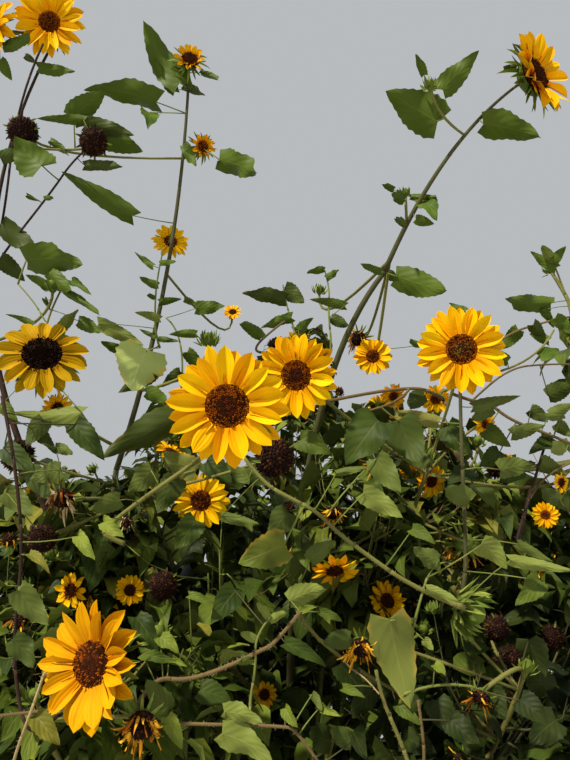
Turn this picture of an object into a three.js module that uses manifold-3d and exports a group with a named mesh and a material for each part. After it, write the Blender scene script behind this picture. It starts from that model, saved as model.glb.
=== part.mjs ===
// A branching annual sunflower, rooted in the ground: one ribbed main stem, side boughs that rise
// from it, and masses of leafy twigs that carry the flower heads, buds and seed heads.
// Millimetres, +Z up, the flat cut under the stem is at the origin. The front of the plant is -Y.
import * as THREE from 'three';
import { mergeVertices } from 'three/addons/utils/BufferGeometryUtils.js';
import Module from 'manifold-3d';

const wasm = await Module();
wasm.setup();

// Driving dimensions
const gap = 0.3;                       // clear space between two neighbouring pieces
const tiniestEdge = 0.03;              // shorter edges are taken out of a fused mass
const sameSpot = 0.006;                // corners closer than this count as one
const stem = {
  height: 1480,                        // ground to fork
  footRadius: 17, tipRadius: 9,        // taper above the flare
  flareRadius: 30, flareHeight: 110,   // the swollen foot
  lean: [40, -50],                     // how far the fork stands from the foot
  sway: 16, sides: 9, steps: 10,
};
const bough = {
  rootRadius: 8.5, tipRadius: 4.8, endRadius: 2.6, tallScale: 1.12, sides: 5, steps: 4,
  rise: 0.26, reach: 0.62,             // how a bough bends upwards on its way out
};
const twig = { rootShare: 0.68, neckRadius: 1.5, petioleRadius: 1.6, sides: 3, steps: 2 };
const leaf = {
  length: 165, width: 108, thickness: 5, widest: 0.5,
  arch: 0.17, loneArch: 0.06,          // how far the fold stands up, as a share of the length
  droop: 0.75,                         // how much a leaf hangs below level
  sunk: 0.5,                           // how deep its root sits, as a share of the twig's radius
};
const growth = {
  lineShares: [0.12, 0.95], twigLeaves: 3, twigShares: [0.4, 0.88], leafSize: [0.78, 1.2],
  twigLength: [150, 270], tallTwigs: 0.6, lean: 0.5, uplift: 0.35, leafLift: 0.3,
  tries: [[1, 0], [0.8, 1], [0.64, 2], [0.5, 3]],  // how much shorter, and how many sides on
  headEvery: 4, headSize: [70, 118],
  kinds: ['open', 'seed', 'bud'], kindScale: { open: 1, seed: 0.5, bud: 0.36 },
};
const crown = { centre: [0, 60, 1180], radii: [840, 740, 800] };

// Rings of masses round the stem. out is how far the middle of a mass is from the stem, and tilt how
// much higher the back of the ring is than its sides.
const rings = [
  { name: 'low', count: 5, height: 820, tilt: 0, out: 430, turn: 54, twigs: 4, lineLeaves: 5 },
  { name: 'middle', count: 7, height: 1230, tilt: 40, out: 500, turn: -116, twigs: 5, lineLeaves: 6 },
  { name: 'high', count: 8, height: 1570, tilt: 100, out: 400, turn: -112, twigs: 5, lineLeaves: 6 },
];
const ringMass = { inner: 0.42, drop: 150, outer: 150, lift: 130, boughDrop: 430, lowestBough: 170 };
const crownTop = { via: [-25, 50, 320], top: [-10, 90, 630], twigs: 6, lineLeaves: 9 };

// Shoots that stand above the crown: root is where the bough ends, via is halfway up, top is the tip.
const shoots = {
  shoot_left: {
    leaves: 1020, bend: [-330, -500, 1440], root: [-455, -515, 1800],
    via: [-472, -590, 2070], top: [-410, -650, 2345], twigs: 0, lineLeaves: 0,
  },
  shoot_middle: {
    leaves: 1180, bend: [-300, -350, 1420], root: [-275, -410, 1650],
    via: [-208, -480, 1985], top: [-180, -575, 2350], twigs: 0, lineLeaves: 0,
  },
  shoot_right: {
    leaves: 1100, bend: [-20, -450, 1740], root: [160, -556, 1936],
    via: [250, -650, 2078], top: [360, -705, 2180], twigs: 0, lineLeaves: 0,
  },
  shoot_far_right: {
    leaves: 900, bend: [500, -200, 1350], root: [560, -330, 1680],
    via: [545, -400, 1860], top: [500, -420, 2030], twigs: 4, lineLeaves: 5,
  },
  shoot_back_left: {
    leaves: 1050, bend: [-330, 320, 1420], root: [-380, 380, 1690],
    via: [-400, 420, 1880], top: [-370, 470, 2090], twigs: 4, lineLeaves: 5,
  },
  shoot_back_right: {
    leaves: 1250, bend: [200, 310, 1500], root: [235, 400, 1720],
    via: [260, 440, 1900], top: [300, 450, 2110], twigs: 4, lineLeaves: 5,
  },
};

// Heads that stand out, each with its middle, its width and the way it faces: a turn from the front
// towards +X and a tilt above level, both in degrees. on names the mass that carries it.
const heads = [
  { kind: 'large', at: [-60, -790, 1605], across: 122, faces: [4, -18] },
  { kind: 'large', at: [15, -665, 1700], across: 112, faces: [-18, -38] },
  { kind: 'large', at: [230, -670, 1735], across: 120, faces: [-14, -22] },
  { kind: 'large', at: [-335, -625, 1750], across: 128, faces: [15, 8] },
  { kind: 'large', at: [-180, -720, 1365], across: 130, faces: [-24, -4] },
  { kind: 'open', at: [-120, -510, 1575], across: 84, faces: [8, -16] },
  { kind: 'large', at: [390, -720, 2190], across: 138, faces: [32, -8], on: 'shoot_right' },
  { kind: 'large', at: [-405, -680, 2365], across: 124, faces: [10, -28], on: 'shoot_left' },
  { kind: 'open', at: [-495, -690, 2340], across: 110, faces: [-24, -20], on: 'shoot_left' },
  { kind: 'opening', at: [-175, -605, 2370], across: 72, faces: [12, -8], on: 'shoot_middle' },
  { kind: 'withered', at: [-150, -545, 2218], across: 52, faces: [32, -38], on: 'shoot_middle' },
  { kind: 'open', at: [-216, -440, 2085], across: 60, faces: [16, -4], on: 'shoot_middle' },
  { kind: 'seed', at: [-430, -645, 2150], across: 56, faces: [-5, -34], on: 'shoot_middle' },
  { kind: 'seed', at: [-315, -632, 2140], across: 52, faces: [6, -40], on: 'shoot_left' },
  { kind: 'open', at: [-115, -220, 2065], across: 44, faces: [4, 10] },
  { kind: 'open', at: [150, -445, 1840], across: 68, faces: [-12, -18] },
  { kind: 'withered', at: [132, -412, 1893], across: 52, faces: [-30, -30] },
  { kind: 'open', at: [65, -545, 1475], across: 62, faces: [4, -52] },
  { kind: 'open', at: [145, -465, 1445], across: 56, faces: [-14, -6] },
  { kind: 'open', at: [-205, -525, 1452], across: 42, faces: [10, -12] },
  { kind: 'open', at: [445, -330, 1595], across: 48, faces: [-20, -8] },
  { kind: 'withered', at: [90, -560, 1380], across: 50, faces: [-10, -55] },
  { kind: 'withered', at: [-150, -655, 1308], across: 54, faces: [8, -40] },
  { kind: 'withered', at: [245, -510, 1335], across: 50, faces: [-40, -50] },
  { kind: 'seed', at: [215, -595, 1425], across: 62, faces: [105, -38] },
  { kind: 'seed', at: [-330, -500, 1588], across: 48, faces: [-6, -30] },
  { kind: 'seed', at: [-150, -590, 1450], across: 40, faces: [5, -12] },
  { kind: 'seed', at: [-10, -625, 1600], across: 58, faces: [40, -28] },
  { kind: 'seed', at: [-375, -560, 1625], across: 52, faces: [-10, -30] },
  { kind: 'seed', at: [285, -495, 1405], across: 40, faces: [20, -20] },
  { kind: 'bud', at: [-360, -580, 1895], across: 34, faces: [0, 50] },
  { kind: 'bud', at: [-125, -500, 1845], across: 40, faces: [0, 60] },
  { kind: 'bud', at: [220, -725, 2160], across: 30, faces: [-20, 65], on: 'shoot_right' },
  { kind: 'bud', at: [195, -606, 2057], across: 24, faces: [0, 70], on: 'shoot_right' },
];

// Large leaves that stand alone above the crown: from where the blade starts to its tip.
const loneLeaves = [
  { from: [-192, -590, 2330], to: [-258, -640, 2425], width: 56, on: 'shoot_middle' },
  { from: [-232, -585, 2285], to: [-352, -600, 2310], width: 62, on: 'shoot_middle' },
  { from: [-245, -575, 2270], to: [-232, -610, 2205], width: 36, on: 'shoot_middle' },
  { from: [-332, -597, 2205], to: [-252, -560, 2190], width: 46, on: 'shoot_middle' },
  { from: [-268, -520, 2080], to: [-372, -600, 2105], width: 36, on: 'shoot_middle' },
  { from: [-115, -560, 2170], to: [-30, -600, 2105], width: 44, on: 'shoot_middle' },
  { from: [-205, -510, 1830], to: [-232, -590, 1765], width: 84, on: 'shoot_middle' },
  { from: [-385, -640, 2080], to: [-430, -655, 2125], width: 62, on: 'shoot_left' },
  { from: [-405, -590, 1935], to: [-305, -610, 1912], width: 50, on: 'shoot_left' },
  { from: [178, -560, 1925], to: [250, -600, 1870], width: 44, on: 'shoot_right' },
  { from: [222, -612, 2035], to: [228, -640, 1985], width: 32, on: 'shoot_right' },
  { from: [235, -690, 2120], to: [158, -705, 2170], width: 64, on: 'shoot_right' },
  { from: [240, -715, 2160], to: [290, -740, 2205], width: 36, on: 'shoot_right' },
  { from: [305, -690, 2115], to: [385, -700, 2085], width: 46, on: 'shoot_right' },
];

const point = (list) => new THREE.Vector3(...list);
const radians = THREE.MathUtils.degToRad;
const up = new THREE.Vector3(0, 0, 1);
const taper = (root, tip) => (share) => root + (tip - root) * share;

// The same numbers in the same order for the same seed.
function seeded(seed) {
  let state = (seed * 7919 + 12345) % 4294967296;
  return (low = 0, high = 1) => {
    state = (state * 1664525 + 1013904223) % 4294967296;
    return low + (high - low) * (state / 4294967296);
  };
}

// A quadratic curve that passes the middle point halfway along.
function curveThrough(start, middle, end) {
  const bend = middle.clone().multiplyScalar(2).addScaledVector(start, -0.5).addScaledVector(end, -0.5);
  return new THREE.QuadraticBezierCurve3(start, bend, end);
}

// A closed solid from a three.js geometry. Faces that have shrunk to a line are left out.
function solid(geometry) {
  const bare = geometry.clone();
  ['normal', 'uv'].forEach((name) => bare.deleteAttribute(name));
  const merged = mergeVertices(bare, 1e-3);
  const corners = merged.index.array;
  const faces = [];
  for (let i = 0; i < corners.length; i += 3) {
    const face = [corners[i], corners[i + 1], corners[i + 2]];
    if (new Set(face).size === 3) faces.push(...face);
  }
  return new wasm.Manifold(new wasm.Mesh({
    numProp: 3,
    vertProperties: merged.attributes.position.array,
    triVerts: new Uint32Array(faces),
  }));
}

// A closed solid from its corners and the corners of each face.
function faceted(corners, faces) {
  const geometry = new THREE.BufferGeometry().setFromPoints(corners);
  geometry.setIndex(faces.flat());
  return solid(geometry);
}

// Moves each vertex of a geometry by a function.
function reshape(geometry, move) {
  const spot = new THREE.Vector3();
  const { position } = geometry.attributes;
  for (let i = 0; i < position.count; i += 1) {
    move(spot.fromBufferAttribute(position, i));
    position.setXYZ(i, spot.x, spot.y, spot.z);
  }
  return geometry;
}

// The axis that a line runs along the least.
function leastAxis(line) {
  const chord = line.getPoint(1).sub(line.getPoint(0)).toArray().map(Math.abs);
  return new THREE.Vector3().setComponent(chord.indexOf(Math.min(...chord)), 1);
}

// A limb is a curve drawn in straight steps, with flat sides. Its frames carry its rings of corners.
function limb(line, radius, sides, steps, reference = leastAxis(line)) {
  const frames = Array.from({ length: steps + 1 }, (_, i) => {
    const along = line.getTangent(i / steps).normalize();
    const normal = reference.clone().cross(along).normalize();
    return { spot: line.getPoint(i / steps), normal, binormal: along.cross(normal) };
  });
  return { line, radius, sides, steps, frames };
}

// The closed solid of a limb. It ends in a point where its radius comes down to nothing.
function tube({ radius, sides, steps, frames }, extra = 0) {
  return solid(reshape(new THREE.CylinderGeometry(1, 1, 1, sides, steps), (spot) => {
    const { x, z } = spot;
    const step = Math.round((spot.y + 0.5) * steps);
    const wide = radius(step / steps) + extra;
    spot.copy(frames[step].spot).addScaledVector(frames[step].normal, z * wide);
    spot.addScaledVector(frames[step].binormal, x * wide);
  }));
}

// A place on the middle line of a limb, the way it runs there, and the way each flat side faces.
function placeOn({ radius, sides, steps, frames }, share) {
  const step = Math.min(Math.floor(share * steps), steps - 1);
  const [near, far] = [frames[step], frames[step + 1]];
  return {
    spot: near.spot.clone().lerp(far.spot, share * steps - step),
    along: far.spot.clone().sub(near.spot).normalize(),
    wide: radius(share),
    inner: radius(share) * Math.cos(Math.PI / sides),
    away(side) {
      const turn = ((side + 0.5) / sides) * 2 * Math.PI;
      return near.normal.clone().multiplyScalar(Math.cos(turn))
        .addScaledVector(near.binormal, Math.sin(turn));
    },
  };
}

// The line of the main stem: it leans a little and sways once.
class StemLine extends THREE.Curve {
  getPoint(share, target = new THREE.Vector3()) {
    const [leanX, leanY] = stem.lean;
    const sway = stem.sway * Math.sin(share * Math.PI * 2) * share;
    return target.set(leanX * share ** 1.4 + sway, leanY * share ** 1.6 - sway * 0.6, stem.height * share);
  }
}
const stemLine = new StemLine();

function stemRadius(share) {
  const above = (share * stem.height) / stem.flareHeight;
  const plain = taper(stem.footRadius, stem.tipRadius)(share);
  return plain + (stem.flareRadius - stem.footRadius) * Math.exp(-2.2 * above);
}

// The main stem: its steps are closer together at the foot, where it flares.
function stemSolid(extra = 0) {
  const { sides, steps, height } = stem;
  return solid(reshape(new THREE.CylinderGeometry(1, 1, 1, sides, steps), (spot) => {
    const share = (spot.y + 0.5) ** 1.5;
    const middle = stemLine.getPoint(share);
    const wide = stemRadius(share) + extra;
    spot.set(middle.x + spot.z * wide, middle.y + spot.x * wide, height * share);
  }));
}

// The masses: rings first, then the shoots, then the top of the crown on the stem's own tip.
function layOutMasses() {
  const masses = [];
  for (const ring of rings) {
    for (let i = 0; i < ring.count; i += 1) {
      const turn = radians(ring.turn + (i * 360) / ring.count);
      const away = new THREE.Vector3(Math.cos(turn), Math.sin(turn), 0);
      const height = ring.height + ring.tilt * away.y + ringMass.lift * 0.35 * Math.sin(i * 2.4);
      const place = (out, rise) => away.clone().multiplyScalar(out).setZ(rise);
      const root = place(ring.out * ringMass.inner, height - ringMass.drop);
      const leaves = Math.max(height - ringMass.boughDrop, ringMass.lowestBough);
      const start = stemLine.getPoint(leaves / stem.height);
      const bend = start.clone().lerp(root, bough.reach).setZ(start.z + (root.z - start.z) * bough.rise);
      masses.push({
        name: `${ring.name}_${i + 1}`, start, bend, root, twigs: ring.twigs, lineLeaves: ring.lineLeaves,
        via: place(ring.out * 0.95, height - ringMass.drop * 0.25),
        top: place(ring.out + ringMass.outer, height + ringMass.lift),
      });
    }
  }
  for (const [name, shoot] of Object.entries(shoots)) {
    masses.push({
      name, start: stemLine.getPoint(shoot.leaves / stem.height), bend: point(shoot.bend),
      root: point(shoot.root), via: point(shoot.via), top: point(shoot.top), twigs: shoot.twigs,
      lineLeaves: shoot.lineLeaves, tall: true,
    });
  }
  const fork = stemLine.getPoint(1);
  masses.push({
    name: 'crown_top', tall: true, root: fork, via: fork.clone().add(point(crownTop.via)),
    top: fork.clone().add(point(crownTop.top)), twigs: crownTop.twigs, lineLeaves: crownTop.lineLeaves,
  });
  return masses;
}

// Gives a mass its bough and its own stem, which starts just clear of the bough's tip.
function makeLimbs(mass, i) {
  const { start, bend, root, tall } = mass;
  const sideways = up.clone().cross(mass.top.clone().sub(start ?? root).setZ(0)).normalize();
  const scale = tall ? bough.tallScale : 1;
  let below = { normal: sideways.clone().cross(up), binormal: sideways };
  let footRadius = stem.tipRadius;
  if (start) {
    footRadius = bough.tipRadius * scale;
    const radius = taper(bough.rootRadius * scale, footRadius);
    const line = new THREE.QuadraticBezierCurve3(start, bend, root);
    mass.bough = limb(line, radius, bough.sides, bough.steps, sideways);
    below = mass.bough.frames.at(-1);
  }
  const enters = below.normal.clone().cross(below.binormal);
  const line = curveThrough(root.clone().addScaledVector(enters, gap), mass.via, mass.top);
  mass.limb = limb(line, taper(footRadius, bough.endRadius * scale), bough.sides, tall ? 5 : 3, sideways);
  mass.limb.frames[0] = { ...below, spot: line.getPoint(0) };
  mass.seed = i + 1;
  mass.samples = Array.from({ length: 9 }, (_, k) => placeOn(mass.limb, k / 8).spot);
  mass.pieces = [];
}

const masses = layOutMasses();
masses.forEach(makeLimbs);

// How far a point is from the line of a mass.
const distanceTo = (mass, spot) => Math.min(...mass.samples.map((sample) => sample.distanceTo(spot)));

function nearestMass(spot) {
  return masses.reduce((best, mass) => (distanceTo(mass, spot) < distanceTo(best, spot) ? mass : best));
}

// How far out a point is: 1 on the skin of the crown.
function outness(spot) {
  const [x, y, z] = [0, 1, 2].map((k) => (spot.getComponent(k) - crown.centre[k]) / crown.radii[k]);
  return Math.hypot(x, y, z);
}

// Whether every spot is in the space of its mass and under the skin of the crown.
function fits(mass, spots) {
  return spots.every((spot) => nearestMass(spot) === mass && (mass.tall || outness(spot) <= 1));
}

// The corners of a leaf: its base, its two sides, its tip, and the midrib under the fold between them.
function leafCorners(base, tip, width, tilt = 0, arch = leaf.arch) {
  const along = tip.clone().sub(base);
  const length = along.length();
  along.normalize();
  const side = up.clone().cross(along);
  if (side.length() < 0.2) side.set(1, 0, 0).cross(along);
  side.normalize().applyAxisAngle(along, tilt);
  const above = along.clone().cross(side);
  const rise = arch * length;
  const middle = base.clone().addScaledVector(along, length * leaf.widest).addScaledVector(above, rise);
  return [
    base, middle.clone().addScaledVector(side, width / 2), middle.clone().addScaledVector(side, -width / 2),
    tip, middle.clone().addScaledVector(above, -leaf.thickness),
  ];
}

// A leaf with six faces: it arches over its widest part, and is thickest under its midrib.
const leafFaces = [[0, 2, 1], [2, 3, 1], [0, 1, 4], [0, 4, 2], [1, 3, 4], [4, 3, 2]];

// The shapes of a head, as shares of half its width. rays is the number of rays and corners that of
// the disc in front and the cup behind. forward is how far the rays bend forward.
const headShapes = {
  large: { rays: 10, corners: 5, disc: 0.4, rise: 0.14, forward: 0.1, notch: 0.62, back: 0.26, cup: 0.26 },
  open: { rays: 8, corners: 4, disc: 0.4, rise: 0.14, forward: 0.1, notch: 0.62, back: 0.26, cup: 0.28 },
  opening: { rays: 8, corners: 4, disc: 0.5, rise: 0.2, forward: 0.45, notch: 0.7, back: 0.36, cup: 0.4 },
  withered: { rays: 6, corners: 4, disc: 0.6, rise: 0.6, forward: 0.75, notch: 0.8, back: 0.36, cup: 0.4 },
  seed: { rays: 4, corners: 4, disc: 0.7, rise: 0.6, forward: 0.1, notch: 0.88, back: 0.4, cup: 0.45 },
  bud: { rays: 4, corners: 4, disc: 0.4, rise: 0.85, forward: 0.4, notch: 0.86, back: 0.4, cup: 0.6 },
};

// The way that a head faces, from its turn and tilt in degrees.
function facing([turn, tilt]) {
  const level = Math.cos(radians(tilt));
  return new THREE.Vector3(
    Math.sin(radians(turn)) * level, -Math.cos(radians(turn)) * level, Math.sin(radians(tilt)));
}

function headSolid(kind, at, across, front) {
  const { rays, corners, disc, rise, forward, notch, back, cup } = headShapes[kind];
  const side = up.clone().cross(front).normalize();
  const above = front.clone().cross(side);
  const place = (radius, height, turn) => at.clone().addScaledVector(front, (height * across) / 2)
    .addScaledVector(side, (radius * Math.cos(turn) * across) / 2)
    .addScaledVector(above, (radius * Math.sin(turn) * across) / 2);
  const rim = rays * 2;
  const step = rim / corners;
  const points = [];
  for (let j = 0; j < rim; j += 1) {
    const isTip = j % 2 === 0;
    points.push(place(isTip ? 1 : notch, isTip ? forward : forward * 0.3, (j / rim) * 2 * Math.PI));
  }
  for (const [radius, height] of [[disc, rise], [back, -cup]]) {
    for (let i = 0; i < corners; i += 1) {
      points.push(place(radius, height, ((i + 0.5) / corners) * 2 * Math.PI));
    }
  }
  const faces = [];
  const cupped = rim + corners;
  for (let i = 0; i < corners; i += 1) {
    const next = (i + 1) % corners;
    for (let j = i * step; j < (i + 1) * step; j += 1) {
      faces.push([rim + i, j, (j + 1) % rim], [cupped + i, (j + 1) % rim, j]);
    }
    const between = ((i + 1) * step) % rim;
    faces.push([rim + i, between, rim + next], [cupped + i, cupped + next, between]);
    if (i > 0 && next > 0) faces.push([rim, rim + i, rim + next], [cupped, cupped + next, cupped + i]);
  }
  return faceted(points, faces);
}

// Every piece that has been kept, so that a new one can be tested against it.
const kept = [];

function boxOf(shape) {
  const { min, max } = shape.boundingBox();
  return new THREE.Box3(point(min), point(max)).expandByScalar(gap);
}

const keep = (shape) => kept.push({ shape, box: boxOf(shape) });

// Whether a new shape is clear of every kept piece but the one that it grows on.
function isClear(shape, grownOn) {
  const box = boxOf(shape);
  return kept.every((other) => other.shape === grownOn || !other.box.intersectsBox(box)
    || other.shape.intersect(shape).isEmpty());
}

// Whether no two corners of two fused shapes come to lie in the same place.
function joinsCleanly(shape, grownOn) {
  const { vertProperties } = shape.add(grownOn).getMesh();
  const spots = [];
  for (let i = 0; i < vertProperties.length; i += 3) {
    const spot = new THREE.Vector3().fromArray(vertProperties, i);
    if (spots.some((other) => other.distanceTo(spot) < sameSpot)) return false;
    spots.push(spot);
  }
  return true;
}

function attach(mass, shape) {
  keep(shape);
  mass.pieces.push(shape);
}

function tryPiece(mass, shape, grownOn) {
  if (!isClear(shape, grownOn) || !joinsCleanly(shape, grownOn)) return false;
  attach(mass, shape);
  return true;
}

// Heads and lone leaves that stand out are carried first, so that nothing else takes their place.
function addHead(mass, { kind, at, across, faces }) {
  const front = facing(faces);
  const { cup } = headShapes[kind];
  const back = point(at).addScaledVector(front, -cup * across * 0.3);
  const stalk = Math.min(150, Math.max(50, distanceTo(mass, back) * 0.5));
  const neck = back.clone().addScaledVector(front, -stalk * 0.6).addScaledVector(up, -stalk * 0.3);
  const shares = [0.05, 0.2, 0.35, 0.5, 0.65, 0.8, 0.95];
  const from = shares.map((share) => placeOn(mass.limb, share))
    .reduce((best, place) => (place.spot.distanceTo(neck) < best.spot.distanceTo(neck) ? place : best));
  attach(mass, headSolid(kind, point(at), across, front));
  const line = new THREE.QuadraticBezierCurve3(from.spot, neck, back);
  const radius = taper(from.wide * twig.rootShare, twig.neckRadius);
  attach(mass, tube(limb(line, radius, twig.sides, twig.steps)));
}

function addLoneLeaf(mass, { from, to, width }) {
  const base = point(from);
  const tip = point(to);
  const root = mass.samples.slice(1)
    .reduce((best, spot) => (spot.distanceTo(base) < best.distanceTo(base) ? spot : best));
  const corners = leafCorners(base, tip, width, 0, leaf.loneArch);
  const inside = corners[1].clone().lerp(corners[2], 0.5).lerp(corners[4], 0.5).lerp(base, 0.7);
  attach(mass, faceted(corners, leafFaces));
  attach(mass, tube(limb(new THREE.LineCurve3(root, inside), () => twig.petioleRadius, twig.sides, 1)));
}

// The rule of growth: leaves and twigs leave a limb from its flat sides, two sides further each time,
// and each twig carries leaves of its own. What would leave the space of its mass, or touch another
// piece, is tried again shorter and from another side, and then left out.
function growLeaves(mass, host, grownOn, [first, last], count, random) {
  for (let k = 0; k < count; k += 1) {
    const share = first + ((last - first) * k) / Math.max(count - 1, 1);
    const place = placeOn(host, share);
    const wished = leaf.length * random(...growth.leafSize);
    const tilt = random(-0.5, 0.5);
    growth.tries.some(([shorter, turned]) => {
      const way = place.away(k * 2 + mass.seed + turned).addScaledVector(place.along, growth.leafLift);
      way.z = way.z * 0.5 - leaf.droop;
      way.normalize();
      const length = wished * shorter;
      const base = place.spot.clone().addScaledVector(way, place.inner - place.wide * leaf.sunk);
      const tip = base.clone().addScaledVector(way, length);
      const corners = leafCorners(base, tip, (length * leaf.width) / leaf.length, tilt);
      return fits(mass, corners.slice(1, 4)) && tryPiece(mass, faceted(corners, leafFaces), grownOn);
    });
  }
}

function growTwig(mass, i, random) {
  const place = placeOn(mass.limb, 0.12 + (0.84 * (i + random(0.1, 0.9))) / mass.twigs);
  const wished = random(...growth.twigLength) * (mass.tall ? growth.tallTwigs : 1);
  const headAcross = random(...growth.headSize);
  const bearsHead = i % growth.headEvery === 1 && mass.heads.length < 2;
  const radius = taper(place.wide * twig.rootShare, bearsHead ? twig.neckRadius : 0);
  for (const [shorter, turned] of growth.tries) {
    const lean = place.away(i * 2 + mass.seed + turned).addScaledVector(place.along, growth.lean);
    const length = wished * shorter;
    lean.normalize().multiplyScalar(length);
    const bend = place.spot.clone().addScaledVector(lean, 0.55);
    const end = place.spot.clone().add(lean).addScaledVector(up, length * growth.uplift);
    const line = new THREE.QuadraticBezierCurve3(place.spot, bend, end);
    const host = limb(line, radius, twig.sides, twig.steps);
    const shape = tube(host);
    if (fits(mass, [end]) && tryPiece(mass, shape, mass.pieces[0])) {
      if (bearsHead) {
        const kind = growth.kinds[(i + mass.seed) % growth.kinds.length];
        const across = headAcross * growth.kindScale[kind];
        const front = line.getTangent(1);
        front.setZ(front.z * 0.3).normalize();
        const at = end.clone().addScaledVector(front, headShapes[kind].cup * across * 0.25);
        tryPiece(mass, headSolid(kind, at, across, front), shape);
      }
      growLeaves(mass, host, shape, growth.twigShares, growth.twigLeaves, random);
      return;
    }
  }
}

function grow(mass) {
  growLeaves(mass, mass.limb, mass.pieces[0], growth.lineShares, mass.lineLeaves, seeded(mass.seed * 50));
  for (let i = 0; i < mass.twigs; i += 1) growTwig(mass, i, seeded(mass.seed * 50 + i + 1));
}

// Fuses the pieces of a mass, takes out its tiniest edges and leaves out what came loose from its stem.
function fuse(mass) {
  const [core] = mass.pieces;
  const bodies = wasm.Manifold.union(mass.pieces).simplify(tiniestEdge).decompose();
  return bodies.find((body) => !body.intersect(core).isEmpty());
}

// The limbs are cut clear of each other where they leave the main stem.
const mainStem = stemSolid();
keep(stemSolid(gap * 2));
const boughs = new Map();
let laid = stemSolid(gap);
for (const mass of masses.filter(({ start }) => start)) {
  const pieces = tube(mass.bough).subtract(laid).decompose();
  boughs.set(mass.name, pieces.sort((a, b) => b.volume() - a.volume())[0]);
  const around = tube(mass.bough, gap);
  laid = laid.add(around);
  keep(around);
}

masses.forEach((mass) => attach(mass, tube(mass.limb)));
for (const mass of masses) {
  mass.heads = heads.filter(({ at, on }) => (on ? on === mass.name : nearestMass(point(at)) === mass));
  mass.heads.forEach((head) => addHead(mass, head));
}
loneLeaves.forEach((entry) => addLoneLeaf(masses.find(({ name }) => name === entry.on), entry));
masses.forEach(grow);

// The finished solids as named meshes.
const looks = {
  stem: { color: 0x6f7a45, roughness: 0.85, metalness: 0 },
  bough: { color: 0x6d6a3c, roughness: 0.8, metalness: 0 },
  foliage: { color: 0x4f7a2c, roughness: 0.65, metalness: 0 },
};

function meshOf(shape, name, look) {
  const { vertProperties, triVerts } = shape.getMesh();
  const geometry = new THREE.BufferGeometry();
  geometry.setAttribute('position', new THREE.BufferAttribute(vertProperties, 3));
  geometry.setIndex(new THREE.BufferAttribute(triVerts, 1));
  geometry.computeVertexNormals();
  const mesh = new THREE.Mesh(geometry, new THREE.MeshStandardMaterial(looks[look]));
  mesh.name = name;
  return mesh;
}

const plant = new THREE.Group();
plant.name = 'sunflower_plant';
plant.add(meshOf(mainStem, 'main_stem', 'stem'));
for (const mass of masses) {
  if (boughs.has(mass.name)) plant.add(meshOf(boughs.get(mass.name), `bough_${mass.name}`, 'bough'));
  plant.add(meshOf(fuse(mass), `foliage_${mass.name}`, 'foliage'));
}

export default plant;
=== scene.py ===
import math

import bmesh
import bpy
import numpy as np
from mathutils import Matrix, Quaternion, Vector


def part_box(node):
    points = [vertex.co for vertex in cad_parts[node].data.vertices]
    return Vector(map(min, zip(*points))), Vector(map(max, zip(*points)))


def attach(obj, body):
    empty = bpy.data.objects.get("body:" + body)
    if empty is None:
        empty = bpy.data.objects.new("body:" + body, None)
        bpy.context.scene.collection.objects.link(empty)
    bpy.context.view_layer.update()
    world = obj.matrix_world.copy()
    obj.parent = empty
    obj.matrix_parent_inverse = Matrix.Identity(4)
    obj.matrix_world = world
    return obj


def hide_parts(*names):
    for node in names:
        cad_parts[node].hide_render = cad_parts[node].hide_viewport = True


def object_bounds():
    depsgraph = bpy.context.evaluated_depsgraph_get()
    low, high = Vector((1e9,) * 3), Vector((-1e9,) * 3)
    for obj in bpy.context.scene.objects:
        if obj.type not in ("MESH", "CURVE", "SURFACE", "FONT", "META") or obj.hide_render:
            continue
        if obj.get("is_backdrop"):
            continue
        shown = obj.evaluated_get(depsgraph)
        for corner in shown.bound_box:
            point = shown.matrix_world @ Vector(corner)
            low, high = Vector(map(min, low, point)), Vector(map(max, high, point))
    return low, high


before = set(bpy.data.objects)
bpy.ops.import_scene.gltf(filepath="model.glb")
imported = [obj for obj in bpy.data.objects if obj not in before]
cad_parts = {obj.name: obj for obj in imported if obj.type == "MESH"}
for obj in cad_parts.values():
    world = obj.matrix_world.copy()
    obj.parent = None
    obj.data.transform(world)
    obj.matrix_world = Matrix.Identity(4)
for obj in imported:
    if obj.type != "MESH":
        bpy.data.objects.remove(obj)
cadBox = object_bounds()
print("solids loaded:", len(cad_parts))

# View and light
metres = 0.001                        # the growth is worked out in millimetres, as in the part's source
photo = {"width": 570, "height": 760, "focal": 615}        # in pixels
viewer = {"eye": (0, -1380, 1360), "pitch": 25}            # at eye height, looking up at the crown
daylight = {
    "sunAngle": 4, "sunPower": 5.0, "sunColour": (1.0, 0.94, 0.80), "sunFrom": (-0.55, -0.78, 0.86),
    "ambient": (0.82, 0.86, 0.89), "ambientPower": 0.58,
}
sensorWidth = 36

scene = bpy.context.scene
scene.view_settings.view_transform = "Standard"


def newObject(name, data):
    made = bpy.data.objects.new(name, data)
    scene.collection.objects.link(made)
    return made


cameraData = bpy.data.cameras.new("camera")
cameraData.sensor_width = sensorWidth
cameraData.lens = sensorWidth * photo["focal"] / photo["height"]    # the sensor's width is the long side's
camera = newObject("camera", cameraData)
camera.location = Vector(viewer["eye"]) * metres
camera.rotation_euler = (math.radians(90 + viewer["pitch"]), 0, 0)
scene.camera = camera

sunData = bpy.data.lights.new("sun", "SUN")
sunData.energy = daylight["sunPower"]
sunData.color = daylight["sunColour"]
sunData.angle = math.radians(daylight["sunAngle"])
sun = newObject("sun", sunData)
sun.rotation_mode = "QUATERNION"
sun.rotation_quaternion = Vector(daylight["sunFrom"]).to_track_quat("Z", "Y")

world = bpy.data.worlds.new("daylight")
world.use_nodes = True
ambient = world.node_tree.nodes["Background"].inputs
ambient["Color"].default_value = (*daylight["ambient"], 1)
ambient["Strength"].default_value = daylight["ambientPower"]
scene.world = world

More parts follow.
